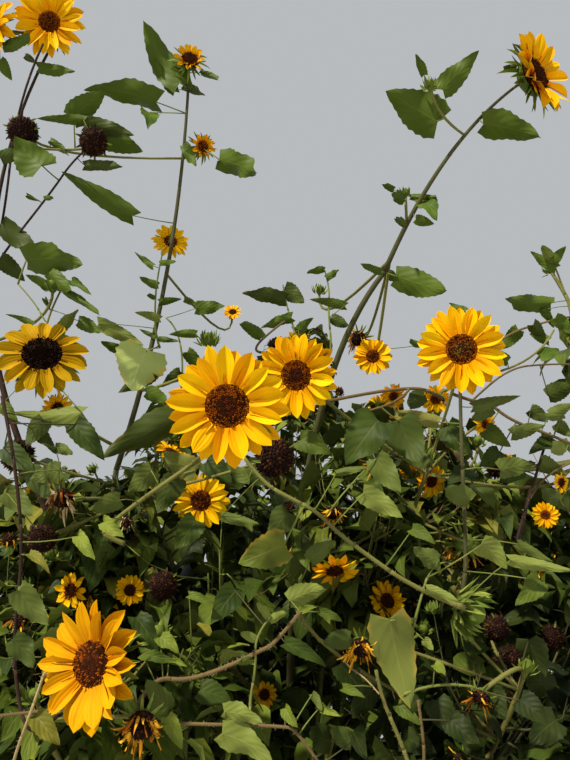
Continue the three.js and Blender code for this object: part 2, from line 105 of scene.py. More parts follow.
# Numbers and lines
up = Vector((0, 0, 1))
eye = Vector(viewer["eye"])
pitch = math.radians(viewer["pitch"])
level, climb = math.cos(pitch), math.sin(pitch)
drawing = {"seedFactor": 7919, "seedStep": 12345, "factor": 1664525, "step": 1013904223, "span": 4294967296}


# The same numbers in the same order for the same seed.
def seeded(seed):
    state = (seed * drawing["seedFactor"] + drawing["seedStep"]) % drawing["span"]

    def draw(low=0.0, high=1.0):
        nonlocal state
        state = (state * drawing["factor"] + drawing["step"]) % drawing["span"]
        return low + (high - low) * state / drawing["span"]
    return draw


# The name whose share a roll from 0 to 1 falls in: each entry gives a name and where its share ends.
def chosen(roll, shares):
    return next(name for name, share in shares if roll <= share)


# The place that shows at a pixel of the photograph, at a depth along the view.
def seen(across, down, depth):
    right = (across - photo["width"] / 2) / photo["focal"]
    rise = (photo["height"] / 2 - down) / photo["focal"]
    return eye + Vector((right, level - rise * climb, climb + rise * level)) * depth


# Where a place shows in the photograph's frame.
def pixelOf(spot):
    x, y, z = spot - eye
    depth = y * level + z * climb
    across = photo["width"] / 2 + photo["focal"] * x / depth
    down = photo["height"] / 2 - photo["focal"] * (z * level - y * climb) / depth
    return across, down


def depthOf(spot):
    return (spot.y - eye.y) * level + (spot.z - eye.z) * climb


def around(first, second, turn):
    return first * math.cos(turn) + second * math.sin(turn)


def asRows(spots):
    return np.array([list(spot) for spot in spots])


def leastAxis(chord):
    sizes = [abs(c) for c in chord]
    axis = Vector((0, 0, 0))
    axis[sizes.index(min(sizes))] = 1
    return axis


# A curve from start to end that is drawn towards bend, with a ring of flat sides at each of its steps.
class Limb:
    def __init__(self, start, bend, end, foot, tip, sides, steps, reference=None):
        self.start, self.bend, self.end = start, bend, end
        self.foot, self.tip, self.sides, self.steps = foot, tip, sides, steps
        self.reference = reference or leastAxis(end - start)
        self.rings = []
        for i in range(steps + 1):
            along = self.tangent(i / steps)
            normal = self.reference.cross(along).normalized()
            self.rings.append((normal, along.cross(normal)))

    def point(self, share):
        back = 1 - share
        return self.start * back * back + self.bend * 2 * back * share + self.end * share * share

    def tangent(self, share):
        way = (self.bend - self.start) * (1 - share) + (self.end - self.bend) * share
        return way.normalized()

    def radius(self, share):
        return self.foot + (self.tip - self.foot) * share


# A place on a limb: where it is, the way the limb runs there, and the way each flat side faces.
class Place:
    def __init__(self, limb, share):
        step = min(int(share * limb.steps), limb.steps - 1)
        self.spot, self.along, self.wide = limb.point(share), limb.tangent(share), limb.radius(share)
        self.normal, self.binormal = limb.rings[step]
        self.sides = limb.sides

    def away(self, side):
        return around(self.normal, self.binormal, (side + 0.5) / self.sides * 2 * math.pi)


def bendThrough(start, middle, end):
    return middle * 2 - start * 0.5 - end * 0.5


# The plant's sizes, as in the part's source
stem = {
    "height": 1480, "footRadius": 17, "tipRadius": 9, "flareRadius": 30, "flareHeight": 110, "flareFade": 2.2,
    "lean": (40, -50), "leanCurve": (1.4, 1.6), "sway": 16, "swayBack": 0.6,
}
bough = {
    "rootRadius": 8.5, "tipRadius": 4.8, "endRadius": 2.6, "tallScale": 1.12, "sides": 5, "steps": 4,
    "rise": 0.26, "reach": 0.62,
}
twig = {"rootShare": 0.68, "neckRadius": 2.3, "tipRadius": 1.1, "sides": 3, "steps": 2}
leaf = {"length": 165, "width": 108}
growth = {
    "lineShares": (0.12, 0.95), "twigLeaves": 3, "twigShares": (0.4, 0.88), "leafSize": (0.78, 1.2),
    "twigLength": (150, 270), "tallTwigs": 0.6, "lean": 0.5, "uplift": 0.35, "leafLift": 0.3,
    "tries": ((1, 0), (0.8, 1), (0.64, 2), (0.5, 3)),       # how long, and how many sides further round
    "headEvery": 4, "headSize": (70, 118),
    "kinds": ("open", "seed", "bud"), "kindScale": {"open": 1, "seed": 0.5, "bud": 0.36},
}
crown = {"centre": (0, 60, 1180), "radii": (840, 740, 800)}
# Rings of masses: name, count, height, tilt, reach, turn of the first, twigs and leaves on the mass's stem.
rings = [
    ("low", 5, 820, 0, 430, 54, 4, 5),
    ("middle", 7, 1230, 40, 500, -116, 5, 6),
    ("high", 8, 1570, 100, 400, -112, 5, 6),
]
ringMass = {
    "inner": 0.42, "drop": 150, "outer": 150, "lift": 130, "boughDrop": 430, "lowestBough": 170,
    "wave": 0.35, "wavePace": 2.4, "viaOut": 0.95, "viaDrop": 0.25,
}
crownTop = {"via": (-25, 50, 320), "top": (-10, 90, 630), "twigs": 6, "lineLeaves": 9}
# Tall shoots: how high each leaves the main stem, its bend, root, way and top, twigs and leaves on its stem.
shoots = {
    "shoot_left": (1020, (-330, -500, 1440), (-455, -515, 1800), (-472, -590, 2070), (-410, -650, 2345), 0, 0),
    "shoot_middle": (1180, (-300, -350, 1420), (-275, -410, 1650), (-208, -480, 1985), (-180, -575, 2350), 0, 0),
    "shoot_right": (1100, (-20, -450, 1740), (160, -556, 1936), (250, -650, 2078), (360, -705, 2180), 0, 0),
    "shoot_far_right": (900, (500, -200, 1350), (560, -330, 1680), (545, -400, 1860), (500, -420, 2030), 4, 5),
    "shoot_back_left": (1050, (-330, 320, 1420), (-380, 380, 1690), (-400, 420, 1880), (-370, 470, 2090), 4, 5),
    "shoot_back_right": (1250, (200, 310, 1500), (235, 400, 1720), (260, 440, 1900), (300, 450, 2110), 4, 5),
}
slimShoots = {"shoot_right": 0.74, "shoot_middle": 0.82, "shoot_left": 0.72}      # as the photograph shows them

# Heads that stand out: kind, middle, width across, turn from the front and tilt above level, then
# the style and the mass that carries the head where it isn't the nearest one.
heads = [
    ("large", (-60, -790, 1605), 130, (4, -18), "lit"),
    ("large", (15, -665, 1700), 112, (-18, -28), "rust"),
    ("large", (230, -670, 1735), 120, (-14, -22), "green"),
    ("large", (-335, -625, 1750), 128, (15, 8), "shade"),
    ("large", (-187, -720, 1363), 121, (-24, -4), "cupped"),
    ("open", (-120, -510, 1575), 86, (4, -12), "bright"),
    ("large", (386, -720, 2186), 138, (37, -6), "flung", "shoot_right"),
    ("large", (-405, -680, 2365), 124, (10, -28), "slim", "shoot_left"),
    ("open", (-495, -690, 2340), 110, (-24, -20), "rust", "shoot_left"),
    ("opening", (-175, -605, 2370), 72, (12, -8), "dark", "shoot_middle"),
    ("opening", (-150, -545, 2218), 56, (32, -30), "amber", "shoot_middle"),
    ("open", (-216, -440, 2085), 74, (22, -4), "bright", "shoot_middle"),
    ("seed", (-430, -645, 2150), 56, (-5, -34), "dark", "shoot_middle"),
    ("seed", (-315, -632, 2140), 52, (6, -40), "dark", "shoot_left"),
    ("open", (-115, -220, 2065), 44, (4, 10), "dark"),
    ("open", (150, -445, 1840), 68, (-12, -18), "rust"),
    ("withered", (132, -412, 1893), 52, (-30, -30), "dark"),
    ("open", (65, -545, 1475), 66, (4, -66), "dark"),
    ("open", (145, -465, 1445), 60, (-42, -22), "dark"),
    ("open", (-205, -525, 1452), 42, (10, -12), "dark"),
    ("open", (445, -330, 1595), 48, (-20, -8), "rust"),
    ("withered", (85, -628, 1381), 43, (-10, -45), "dark"),
    ("withered", (-136, -712, 1311), 50, (8, -30), "dark"),
    ("withered", (220, -604, 1330), 36, (-40, -50), "dark"),
    ("bud", (224, -597, 1419), 60, (66, -24), "fresh"),
    ("withered", (-288, -590, 1559), 50, (-6, -30), "bleached"),
    ("seed", (-150, -590, 1450), 40, (5, -12), "dark"),
    ("seed", (-10, -625, 1600), 58, (40, -28), "dark"),
    ("seed", (-375, -560, 1625), 52, (-10, -30), "dark"),
    ("seed", (285, -495, 1405), 40, (20, -20), "dark"),
    ("bud", (-360, -580, 1895), 34, (0, 50), "dark"),
    ("bud", (-125, -500, 1845), 40, (0, 60), "dark"),
    ("bud", (220, -725, 2160), 30, (-20, 65), "dark", "shoot_right"),
    ("bud", (195, -606, 2057), 24, (0, 70), "dark", "shoot_right"),
]

# Smaller heads that the solids leave out.
smallHeads = [
    ("open", (225, -455, 1620), 58, (30, -30), "dark"),
    ("open", (245, -460, 1755), 52, (-10, -40), "rust"),
    ("open", (185, -415, 1780), 50, (10, -50), "rust"),
    ("open", (330, -425, 1725), 50, (35, -20), "rust"),
    ("open", (400, -320, 1685), 46, (25, -10), "dark"),
    ("withered", (70, -485, 1565), 40, (5, -50), "dark"),
    ("open", (-335, -545, 1705), 50, (60, -40), "dark"),
    ("withered", (255, -485, 1520), 60, (170, -10), "dark"),
    ("seed", (375, -445, 1395), 42, (-10, -30), "dark"),
    ("seed", (380, -315, 1680), 36, (-10, -30), "dark"),
    ("seed", (295, -500, 1365), 44, (20, -35), "dark"),
    ("bud", (65, -410, 2000), 30, (10, 55), "dark"),
    ("bud", (180, -520, 1405), 26, (0, 20), "dark"),
    ("bud", (-145, -625, 1395), 36, (20, 40), "dark"),
    ("bud", (315, -430, 1695), 30, (0, 50), "dark"),
    ("seed", (-303, -607, 1501), 42, (-5, -45), "dark"),
    ("bud", (15, -640, 1440), 30, (10, 10), "dark"),
    ("withered", (-200, -597, 1527), 26, (0, -20), "bleached"),
    ("open", (381, -550, 1591), 34, (30, -20), "dark"),
]

# Leaves that stand alone above the crown, as in the part's source: from, to and width.
loneLeaves = [
    ((-192, -590, 2330), (-258, -640, 2425), 56), ((-232, -585, 2285), (-352, -600, 2310), 48),
    ((-245, -575, 2270), (-232, -610, 2205), 36), ((-332, -597, 2205), (-252, -560, 2190), 46),
    ((-268, -520, 2080), (-372, -600, 2105), 36), ((-115, -560, 2170), (-30, -600, 2105), 44),
    ((-385, -640, 2080), (-430, -655, 2125), 62), ((-405, -590, 1935), (-305, -610, 1912), 50),
    ((178, -560, 1925), (250, -600, 1870), 44), ((222, -612, 2035), (228, -640, 1985), 32),
    ((235, -690, 2120), (158, -705, 2170), 64), ((240, -715, 2160), (290, -740, 2205), 36),
    ((305, -690, 2115), (385, -700, 2085), 46),
]

# Stems that the photograph shows: pixels along each, its depth at both ends, radii, tint and bristles.
# Where a shoot is named the first pixel is on it, and the depths are counted from there.
runners = [
    ([(-18, 292), (0, 257), (53, 190), (73, 160), (90, 146)], (1010, 1030), (2.2, 1.6), "dark", 0.3),
    ([(-12, 262), (3, 230), (17, 100), (43, 44)], (1010, 1040), (2.4, 1.8), "dark", 0.3),
    ([(160, 348), (155, 335), (155, 299), (158, 274), (163, 250)],
     (0, -14), (2.0, 1.2), "fresh", 0.3, "shoot_middle"),
    ([(166, 318), (176, 325), (184, 361), (181, 392)], (0, -30), (1.4, 1.8), "fresh", 0.2, "shoot_middle"),
    ([(60, 392), (45, 355), (45, 321), (60, 292)], (930, 960), (2.2, 1.5), "green", 0.3),
    ([(45, 321), (33, 300), (18, 284)], (950, 965), (1.5, 1.1), "fresh", 0.2),
    ([(300, 352), (292, 322), (285, 300), (283, 285)], (960, 985), (2.0, 1.2), "green", 0.2),
    ([(332, 350), (328, 310), (330, 288), (324, 268)], (960, 990), (2.0, 1.1), "fresh", 0.2),
    ([(253, 352), (262, 338), (285, 321)], (900, 930), (2.0, 1.6), "red", 0.3),
    ([(443, 400), (441, 396), (409, 384), (329, 401)], (890, 840), (3.0, 2.2), "red", 0.4),
    ([(409, 390), (400, 399), (386, 406), (368, 411)], (855, 830), (2.0, 1.5), "red", 0.3),
    ([(488, 402), (510, 420), (545, 433), (580, 447)], (860, 850), (2.4, 2.0), "red", 0.3),
    ([(526, 504), (548, 471), (576, 461)], (840, 850), (1.8, 1.4), "red", 0.3),
    # painted shade: the shade bark for a stem in shadow
    ([(466, 562), (464, 500), (461, 440), (460, 378)], (755, 805), (2.8, 2.3), "shade", 0.5),
    ([(515, 545), (530, 495), (545, 445)], (800, 860), (2.4, 1.8), "dark", 0.2),
    ([(470, 402), (509, 368), (545, 364), (570, 364)], (880, 900), (1.8, 1.3), "red", 0.2),
    ([(440, 392), (476, 380), (540, 357), (554, 330)], (880, 920), (2.3, 1.5), "green", 0.4),
    ([(470, 372), (503, 335), (547, 321), (574, 316)], (900, 930), (2.2, 1.5), "red", 0.3),
    ([(574, 330), (569, 306), (562, 284), (553, 262)], (960, 980), (2.2, 1.3), "green", 0.3),
    ([(463, 606), (452, 604), (407, 583), (374, 560), (336, 532), (318, 512), (286, 496), (262, 482),
      (243, 456)],
     (690, 720), (2.9, 2.0), "green", 0.8),
    ([(100, 530), (190, 465), (215, 450)], (790, 800), (3.4, 2.6), "green", 0.6),
    ([(140, 700), (158, 677), (185, 681), (225, 668), (262, 650), (276, 643), (300, 612)],
     (640, 640), (2.8, 1.9), "red", 0.9),
    ([(27, 732), (18, 700), (13, 640), (23, 560), (18, 489), (9, 430), (2, 396)],
     (650, 740), (1.9, 2.1), "dark", 0.4),
    ([(70, 708), (53, 710), (-4, 716)], (620, 620), (2.2, 1.6), "red", 0.6),
    ([(170, 722), (184, 724), (285, 726), (296, 730), (320, 764)], (620, 610), (2.0, 1.5), "red", 0.5),
    ([(46, 668), (40, 686), (28, 720), (16, 752), (12, 768)], (612, 600), (1.2, 1.6), "straw", 0.2),
    ([(344, 660), (350, 668), (367, 679), (379, 694)], (720, 640), (1.2, 0.8), "straw", 0.2),
    ([(480, 690), (470, 686), (446, 684), (420, 688), (404, 694)], (690, 655), (1.2, 1.5), "fresh", 0.3),
    ([(409, 764), (398, 735), (381, 697), (376, 670)], (640, 650), (2.6, 1.9), "green", 0.5),
    ([(425, 764), (422, 725), (418, 700)], (640, 650), (2.0, 1.6), "red", 0.4),
    ([(410, 640), (420, 600), (427, 578)], (690, 700), (2.0, 1.3), "fresh", 0.3),
    ([(250, 700), (256, 665), (255, 636), (268, 620)], (640, 640), (1.5, 1.1), "fresh", 0.3),
]

# Leaves that the photograph shows above the crown: base, tip and width in pixels, tint, and where the
# stalk leaves the stem when that isn't the nearest place on it.
# A darker tint here paints shade on the leaf.
seenLoneLeaves = [
    (175, 91, 154, 60, 12, "mid"), (182, 87, 207, 95, 10, "deep"), (200, 73, 220, 80, 6, "mid"),
    (184, 144, 196, 167, 11, "mid"), (85, 124, 135, 136, 18, "deep"), (73, 118, 105, 91, 25, "mid"),
    (84, 120, 36, 118, 10, "mid"), (49, 141, 71, 156, 9, "mid"), (85, 166, 127, 165, 11, "deep"),
    (0, 158, 24, 150, 14, "deep"), (3, 47, 33, 33, 11, "mid"), (38, 67, 76, 72, 12, "mid"),
    (25, 56, 36, 63, 7, "deep"), (44, 40, 53, 58, 8, "mid"), (0, 60, 12, 80, 12, "mid"),
    (27, 195, 39, 201, 5, "mid"), (44, 198, 55, 198, 5, "mid"), (2, 223, 40, 257, 22, "deep"),
    (0, 259, 24, 281, 18, "deep"), (48, 288, 26, 274, 10, "mid"), (49, 272, 73, 292, 16, "mid"),
    (71, 281, 91, 294, 10, "mid"), (65, 292, 105, 317, 8, "mid"), (60, 332, 78, 308, 14, "fresh"),
    (45, 299, 50, 310, 5, "mid"), (33, 325, 8, 314, 7, "mid"), (78, 321, 102, 334, 14, "mid", 60, 312),
    (98, 323, 144, 346, 15, "fresh", 152, 330), (122, 350, 99, 341, 10, "mid", 150, 352),
    # the first leaf here is pale with painted light shining through it
    (147, 350, 129, 390, 54, "pale", 158, 345), (153, 266, 137, 255, 7, "mid"),
    (160, 263, 179, 261, 6, "mid"), (158, 285, 138, 277, 9, "mid"), (155, 299, 146, 294, 5, "mid"),
    (160, 319, 135, 312, 9, "fresh"), (155, 337, 139, 329, 5, "mid"), (160, 302, 181, 299, 8, "mid"),
    (196, 308, 225, 306, 15, "mid", 169, 312), (184, 299, 196, 304, 7, "mid"),
    (196, 334, 169, 334, 9, "mid"), (158, 339, 180, 341, 6, "mid"), (187, 352, 205, 372, 14, "mid"),
    (181, 372, 163, 385, 13, "deep"), (151, 372, 122, 392, 20, "deep"), (146, 392, 170, 402, 16, "mid"),
    (285, 300, 242, 292, 17, "deep"), (285, 288, 305, 303, 18, "deep"), (291, 318, 262, 326, 12, "mid"),
    (324, 270, 305, 272, 8, "mid"), (326, 278, 340, 270, 8, "mid"),
    (345, 306, 310, 299, 10, "mid", 329, 318), (331, 318, 350, 326, 12, "deep"),
    (300, 330, 312, 318, 12, "mid"), (262, 338, 238, 322, 12, "mid"), (424, 75, 416, 53, 9, "mid"),
    (516, 68, 499, 68, 7, "mid"), (394, 190, 382, 184, 7, "mid"), (405, 201, 390, 190, 12, "mid"),
    (410, 197, 440, 197, 7, "mid"), (405, 226, 395, 217, 8, "mid"), (416, 219, 434, 224, 11, "mid"),
    (381, 272, 358, 264, 8, "mid"), (387, 274, 402, 281, 11, "mid"),
    (420, 345, 409, 339, 7, "mid", 404, 352), (465, 310, 449, 303, 7, "mid", 478, 352),
    (552, 303, 503, 299, 18, "mid", 566, 300), (543, 310, 554, 328, 9, "mid", 566, 306),
    (556, 268, 530, 252, 13, "mid"), (554, 262, 566, 246, 10, "mid"), (553, 263, 540, 243, 10, "fresh"),
    (518, 330, 500, 350, 15, "mid"), (534, 325, 548, 344, 13, "deep"), (508, 362, 488, 352, 13, "mid"),
    (540, 357, 560, 348, 15, "mid"), (548, 340, 530, 334, 10, "mid"), (555, 318, 572, 334, 14, "mid"),
]

# Leaves at the front of the masses: base, tip and width in pixels, depth and tint. The darker tints paint the
# shade that falls on them.
seenLeaves = [
    (82, 412, 16, 415, 22, 820, "fresh"), (75, 424, 104, 458, 24, 800, "deep"),
    (184, 416, 102, 456, 34, 860, "shaded"), (196, 471, 163, 452, 26, 820, "edged"),
    (222, 516, 262, 525, 11, 740, "mid"), (104, 522, 122, 535, 15, 700, "fresh"),
    (285, 545, 238, 562, 36, 690, "edged"), (78, 536, 95, 560, 14, 680, "fresh"),
    (29, 554, 49, 570, 11, 660, "olive"), (36, 431, 56, 451, 14, 800, "deep"),
    (55, 447, 75, 455, 11, 800, "mid"), (0, 405, 18, 422, 14, 820, "mid"),
    (378, 420, 345, 460, 44, 790, "deep"), (398, 420, 420, 464, 40, 800, "deep"),
    (438, 422, 392, 411, 14, 820, "olive"), (474, 407, 518, 396, 13, 820, "mid"),
    (563, 415, 534, 416, 9, 850, "mid"), (376, 458, 401, 493, 26, 730, "mid"),
    (363, 493, 403, 518, 22, 710, "fresh"), (412, 529, 434, 542, 14, 700, "mid"),
    (481, 544, 507, 567, 26, 680, "fresh"), (518, 544, 552, 562, 10, 700, "mid"),
    (510, 560, 574, 571, 13, 670, "fresh"), (336, 473, 372, 467, 8, 740, "mid"),
    (136, 617, 160, 650, 22, 670, "deep"), (160, 637, 178, 650, 16, 660, "fresh"),
    (142, 654, 176, 661, 12, 655, "mid"), (169, 657, 187, 666, 9, 655, "fresh"),
    (169, 712, 144, 679, 24, 630, "mid"), (167, 717, 182, 750, 16, 610, "fresh"),
    (224, 712, 264, 721, 20, 610, "fresh"), (222, 734, 273, 759, 30, 605, "fresh"),
    (18, 590, 49, 625, 26, 670, "mid"), (36, 715, 60, 745, 20, 610, "olive"),
    (189, 595, 215, 603, 9, 670, "mid"), (290, 601, 327, 588, 22, 660, "fresh"),
    (285, 643, 328, 666, 15, 635, "deep"), (390, 619, 408, 705, 46, 670, "edged"),
    (398, 705, 422, 725, 14, 660, "mid"), (424, 640, 434, 650, 10, 670, "fresh"),
    (435, 664, 445, 674, 11, 665, "fresh"), (320, 612, 343, 621, 9, 660, "mid"),
    (427, 589, 461, 601, 10, 690, "fresh"), (285, 708, 298, 728, 12, 620, "fresh"),
    (312, 694, 323, 712, 9, 630, "mid"), (321, 706, 338, 716, 9, 630, "fresh"),
    (343, 688, 365, 697, 10, 640, "mid"), (256, 640, 238, 632, 9, 640, "fresh"),
    (268, 618, 256, 600, 9, 640, "fresh"), (270, 622, 288, 612, 9, 640, "fresh"),
    (300, 612, 314, 606, 9, 650, "fresh"), (252, 660, 236, 664, 8, 640, "mid"),
    (120, 500, 88, 510, 20, 740, "mid"), (60, 470, 30, 480, 22, 760, "mid"),
    (236, 590, 212, 622, 26, 690, "deep"), (350, 640, 322, 642, 20, 670, "deep"),
    (352, 742, 330, 728, 18, 640, "deep"), (200, 690, 232, 702, 24, 660, "deep"),
    (310, 560, 336, 540, 18, 700, "mid"), (440, 560, 410, 548, 20, 720, "mid"),
    (470, 500, 440, 486, 22, 760, "mid"), (500, 470, 532, 462, 22, 800, "mid"),
    (540, 580, 520, 602, 22, 690, "mid"), (450, 720, 480, 742, 26, 640, "dusk"),
    (520, 700, 548, 722, 26, 650, "dusk"), (12, 640, 34, 668, 24, 650, "deep"),
    (300, 440, 330, 452, 24, 800, "mid"), (250, 478, 226, 462, 16, 800, "mid"),
    (152, 470, 128, 492, 24, 800, "mid"), (206, 462, 232, 482, 24, 860, "deep"),
    (246, 466, 270, 486, 24, 880, "deep"), (238, 490, 216, 470, 20, 900, "deep"),
    (340, 664, 364, 692, 26, 720, "deep"), (372, 690, 350, 716, 26, 740, "dusk"),
    (528, 640, 546, 676, 30, 720, "dusk"), (548, 690, 524, 668, 28, 740, "dusk"),
    (488, 690, 506, 720, 28, 700, "dusk"), (556, 720, 530, 744, 30, 690, "dusk"),
    (436, 700, 452, 736, 28, 700, "dusk"), (408, 738, 436, 752, 26, 690, "dusk"),
    (332, 742, 306, 726, 26, 700, "dusk"), (196, 520, 176, 548, 26, 820, "deep"),
    (176, 478, 158, 512, 26, 840, "deep"), (288, 512, 268, 540, 26, 820, "deep"),
    (448, 426, 470, 454, 26, 850, "deep"), (486, 430, 510, 446, 18, 840, "mid"),
    (512, 434, 545, 426, 15, 850, "mid"), (548, 396, 574, 386, 20, 880, "deep"),
    (550, 414, 574, 404, 13, 850, "mid"), (552, 440, 530, 452, 18, 860, "deep"),
    (500, 452, 480, 466, 20, 860, "deep"), (540, 462, 566, 474, 18, 850, "mid"),
    (560, 500, 540, 488, 16, 830, "deep"), (520, 470, 500, 482, 20, 850, "deep"),
    (556, 424, 572, 436, 14, 860, "mid"), (470, 470, 448, 482, 22, 860, "deep"),
    (410, 450, 432, 468, 20, 850, "deep"), (425, 396, 404, 408, 18, 870, "deep"),
    (566, 452, 548, 446, 14, 850, "fresh"), (492, 408, 470, 420, 18, 870, "mid"),
    (530, 410, 548, 422, 15, 870, "deep"), (4, 448, 34, 474, 22, 780, "deep"),
    (28, 472, 52, 500, 24, 770, "deep"), (6, 492, 34, 516, 22, 770, "mid"),
    (44, 420, 26, 446, 20, 790, "deep"),
]

# Leaves deep in the crown, behind what the photograph shows: one to each step of pixels, dark with painted
# shade.
backLeaves = {
    "across": (-10, 590), "down": (505, 790), "step": 34, "jitter": 14, "depth": (1120, 1250),
    "width": (50, 76), "long": 1.5, "way": ((-1, 1), (-0.6, 0.2), (-0.9, 0.1)),
    "tints": (("dusk", 0.5), ("deep", 1)),
}


# Masses and limbs, by the source's rule
def stemPoint(share):
    sway = stem["sway"] * math.sin(share * math.pi * 2) * share
    (leanX, leanY), (curveX, curveY) = stem["lean"], stem["leanCurve"]
    return Vector((leanX * share ** curveX + sway, leanY * share ** curveY - sway * stem["swayBack"],
                   stem["height"] * share))


def stemRadius(share):
    plain = stem["footRadius"] + (stem["tipRadius"] - stem["footRadius"]) * share
    above = share * stem["height"] / stem["flareHeight"]
    return plain + (stem["flareRadius"] - stem["footRadius"]) * math.exp(-stem["flareFade"] * above)


class Mass:
    def __init__(self, name, start, bend, root, via, top, twigs, lineLeaves, tall):
        self.name, self.start, self.bend, self.root, self.via, self.top = name, start, bend, root, via, top
        self.twigs, self.lineLeaves, self.tall = twigs, lineLeaves, tall
        self.heads, self.hosts = [], []


def outFrom(away, out, rise):
    return Vector((away.x * out, away.y * out, rise))


def ringMasses(name, count, ringHeight, tilt, reach, firstTurn, twigs, lineLeaves):
    for i in range(count):
        turn = math.radians(firstTurn + i * 360 / count)
        away = Vector((math.cos(turn), math.sin(turn), 0))
        wave = ringMass["lift"] * ringMass["wave"] * math.sin(i * ringMass["wavePace"])
        height = ringHeight + tilt * away.y + wave
        root = outFrom(away, reach * ringMass["inner"], height - ringMass["drop"])
        leaves = max(height - ringMass["boughDrop"], ringMass["lowestBough"])
        start = stemPoint(leaves / stem["height"])
        bend = start.lerp(root, bough["reach"])
        bend.z = start.z + (root.z - start.z) * bough["rise"]
        via = outFrom(away, reach * ringMass["viaOut"], height - ringMass["drop"] * ringMass["viaDrop"])
        top = outFrom(away, reach + ringMass["outer"], height + ringMass["lift"])
        yield Mass(f"{name}_{i + 1}", start, bend, root, via, top, twigs, lineLeaves, False)


def layOutMasses():
    found = [mass for ring in rings for mass in ringMasses(*ring)]
    for name, (leaves, *spots, twigs, lineLeaves) in shoots.items():
        start = stemPoint(leaves / stem["height"])
        found.append(Mass(name, start, *map(Vector, spots), twigs, lineLeaves, True))
    fork = stemPoint(1)
    via, top = fork + Vector(crownTop["via"]), fork + Vector(crownTop["top"])
    found.append(Mass("crown_top", None, None, fork, via, top, crownTop["twigs"], crownTop["lineLeaves"], True))
    return found


# Growth past the box of its mass's own solid gets rarer outward, and a tall mass narrows to a dome.
edges = {"spare": 50, "fade": 85, "least": 0.1, "domeWide": 185, "domeLow": 0.2, "domeCurve": 1.4}
limbSteps = {"tall": 5, "other": 3}
samplesEach = 9                       # places along the stem of each mass that stand for its space
reachLow, reachHigh = (np.array(corner) / metres for corner in cadBox)


def makeLimbs(mass, number):
    chord = mass.top - (mass.start or mass.root)
    sideways = up.cross(Vector((chord.x, chord.y, 0))).normalized()
    scale = (bough["tallScale"] if mass.tall else 1) * slimShoots.get(mass.name, 1)
    below = (sideways.cross(up), sideways)
    foot = stem["tipRadius"]
    mass.bough = None
    if mass.start:
        foot = bough["tipRadius"] * scale
        mass.bough = Limb(mass.start, mass.bend, mass.root, bough["rootRadius"] * scale, foot,
                          bough["sides"], bough["steps"], sideways)
        below = mass.bough.rings[-1]
    steps = limbSteps["tall" if mass.tall else "other"]
    mass.limb = Limb(mass.root, bendThrough(mass.root, mass.via, mass.top), mass.top, foot,
                     bough["endRadius"] * scale, bough["sides"], steps, sideways)
    mass.limb.rings[0] = below
    mass.seed = number + 1
    mass.samples = [mass.limb.point(k / (samplesEach - 1)) for k in range(samplesEach)]
    low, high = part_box(f"foliage_{mass.name}")             # a mass keeps to the reach of its own solid
    mass.low = np.maximum(np.array(low) / metres - edges["spare"], reachLow)
    mass.high = np.minimum(np.array(high) / metres + edges["spare"], reachHigh)


chances = seeded(55)
masses = layOutMasses()
for number, mass in enumerate(masses):
    makeLimbs(mass, number)
sampleSpots = asRows(spot for mass in masses for spot in mass.samples)
sampleOwners = np.repeat(np.arange(len(masses)), samplesEach)
boxLows = np.array([mass.low for mass in masses])[None]
boxHighs = np.array([mass.high for mass in masses])[None]
print("masses:", len(masses))


def nearestMass(spot):
    return masses[sampleOwners[((sampleSpots - np.array(spot)) ** 2).sum(1).argmin()]]


def distanceTo(mass, spot):
    return min((sample - spot).length for sample in mass.samples)


# How far out in the crown a place is: 0 at its centre and 1 at its skin.
def outness(spot):
    offset = (np.array(spot) - crown["centre"]) / crown["radii"]
    return float(np.sqrt((offset ** 2).sum()))


# Three rules of where growth may go. Each takes the mass that grows and every spot of the growth.
# Inside the box of some mass, for what grows within the crown.
def isInside(mass, spots):
    spots = asRows(spots)[:, None]
    return bool(((spots > boxLows) & (spots < boxHighs)).all(2).any(1).all())


# In the space of its own mass and under the skin of the crown.
def fits(mass, spots):
    spots = asRows(spots)
    inside = min((spots - mass.low).min(), (mass.high - spots).min())
    if inside < 0 or chances() > edges["least"] + inside / edges["fade"]:
        return False
    if not mass.tall:
        parts = ((spots - crown["centre"]) / crown["radii"]) ** 2
        if (parts.sum(1) > 1).any():
            return False
    gaps = ((sampleSpots[None] - spots[:, None]) ** 2).sum(2)
    owner = sampleOwners[gaps.argmin(1)]
    if mass.tall:
        rise = np.clip((spots[:, 2] - mass.root.z) / (mass.high[2] - mass.root.z), 0, 1)
        rounded = np.clip((rise - edges["domeLow"]) / (1 - edges["domeLow"]), 0, 1) ** edges["domeCurve"]
        wide = edges["domeWide"] * np.sqrt(1 - rounded)
        if (gaps[:, sampleOwners == mass.seed - 1].min(1) > wide ** 2).any():
            return False
    return bool((owner == mass.seed - 1).all())


# In the band where the low masses end and the middle ones start.
between = {
    "from": ("low", "middle"), "low": 800, "high": 1180, "front": -300, "skin": 0.92,
    "lineTwigs": 16, "lineFrom": 0.1, "boughTwigs": 8, "boughFrom": 0.5,
}


def isBetween(mass, spots):
    return all(between["low"] < spot.z < between["high"] and spot.y > between["front"]
               and outness(spot) < between["skin"] for spot in spots)


# Heads and the large leaves in front keep the air before them free, as seen from where the viewer stands.
openAir = {"from": [], "way": [], "wide": [], "near": 4, "far": 420}


def keepOpen(spot, wide):
    openAir["from"].append(list(spot))
    openAir["way"].append(list((eye - spot).normalized()))
    openAir["wide"].append(wide)


def inOpenAir(spots, spare):
    gaps = asRows(spots)[:, None] - np.array(openAir["from"])[None]
    ahead = (gaps * np.array(openAir["way"])[None]).sum(2)
    aside = np.sqrt(np.maximum((gaps ** 2).sum(2) - ahead ** 2, 0))
    wide = np.array(openAir["wide"])[None] + spare
    return bool(((ahead > openAir["near"]) & (ahead < openAir["far"]) & (aside < wide)).any())


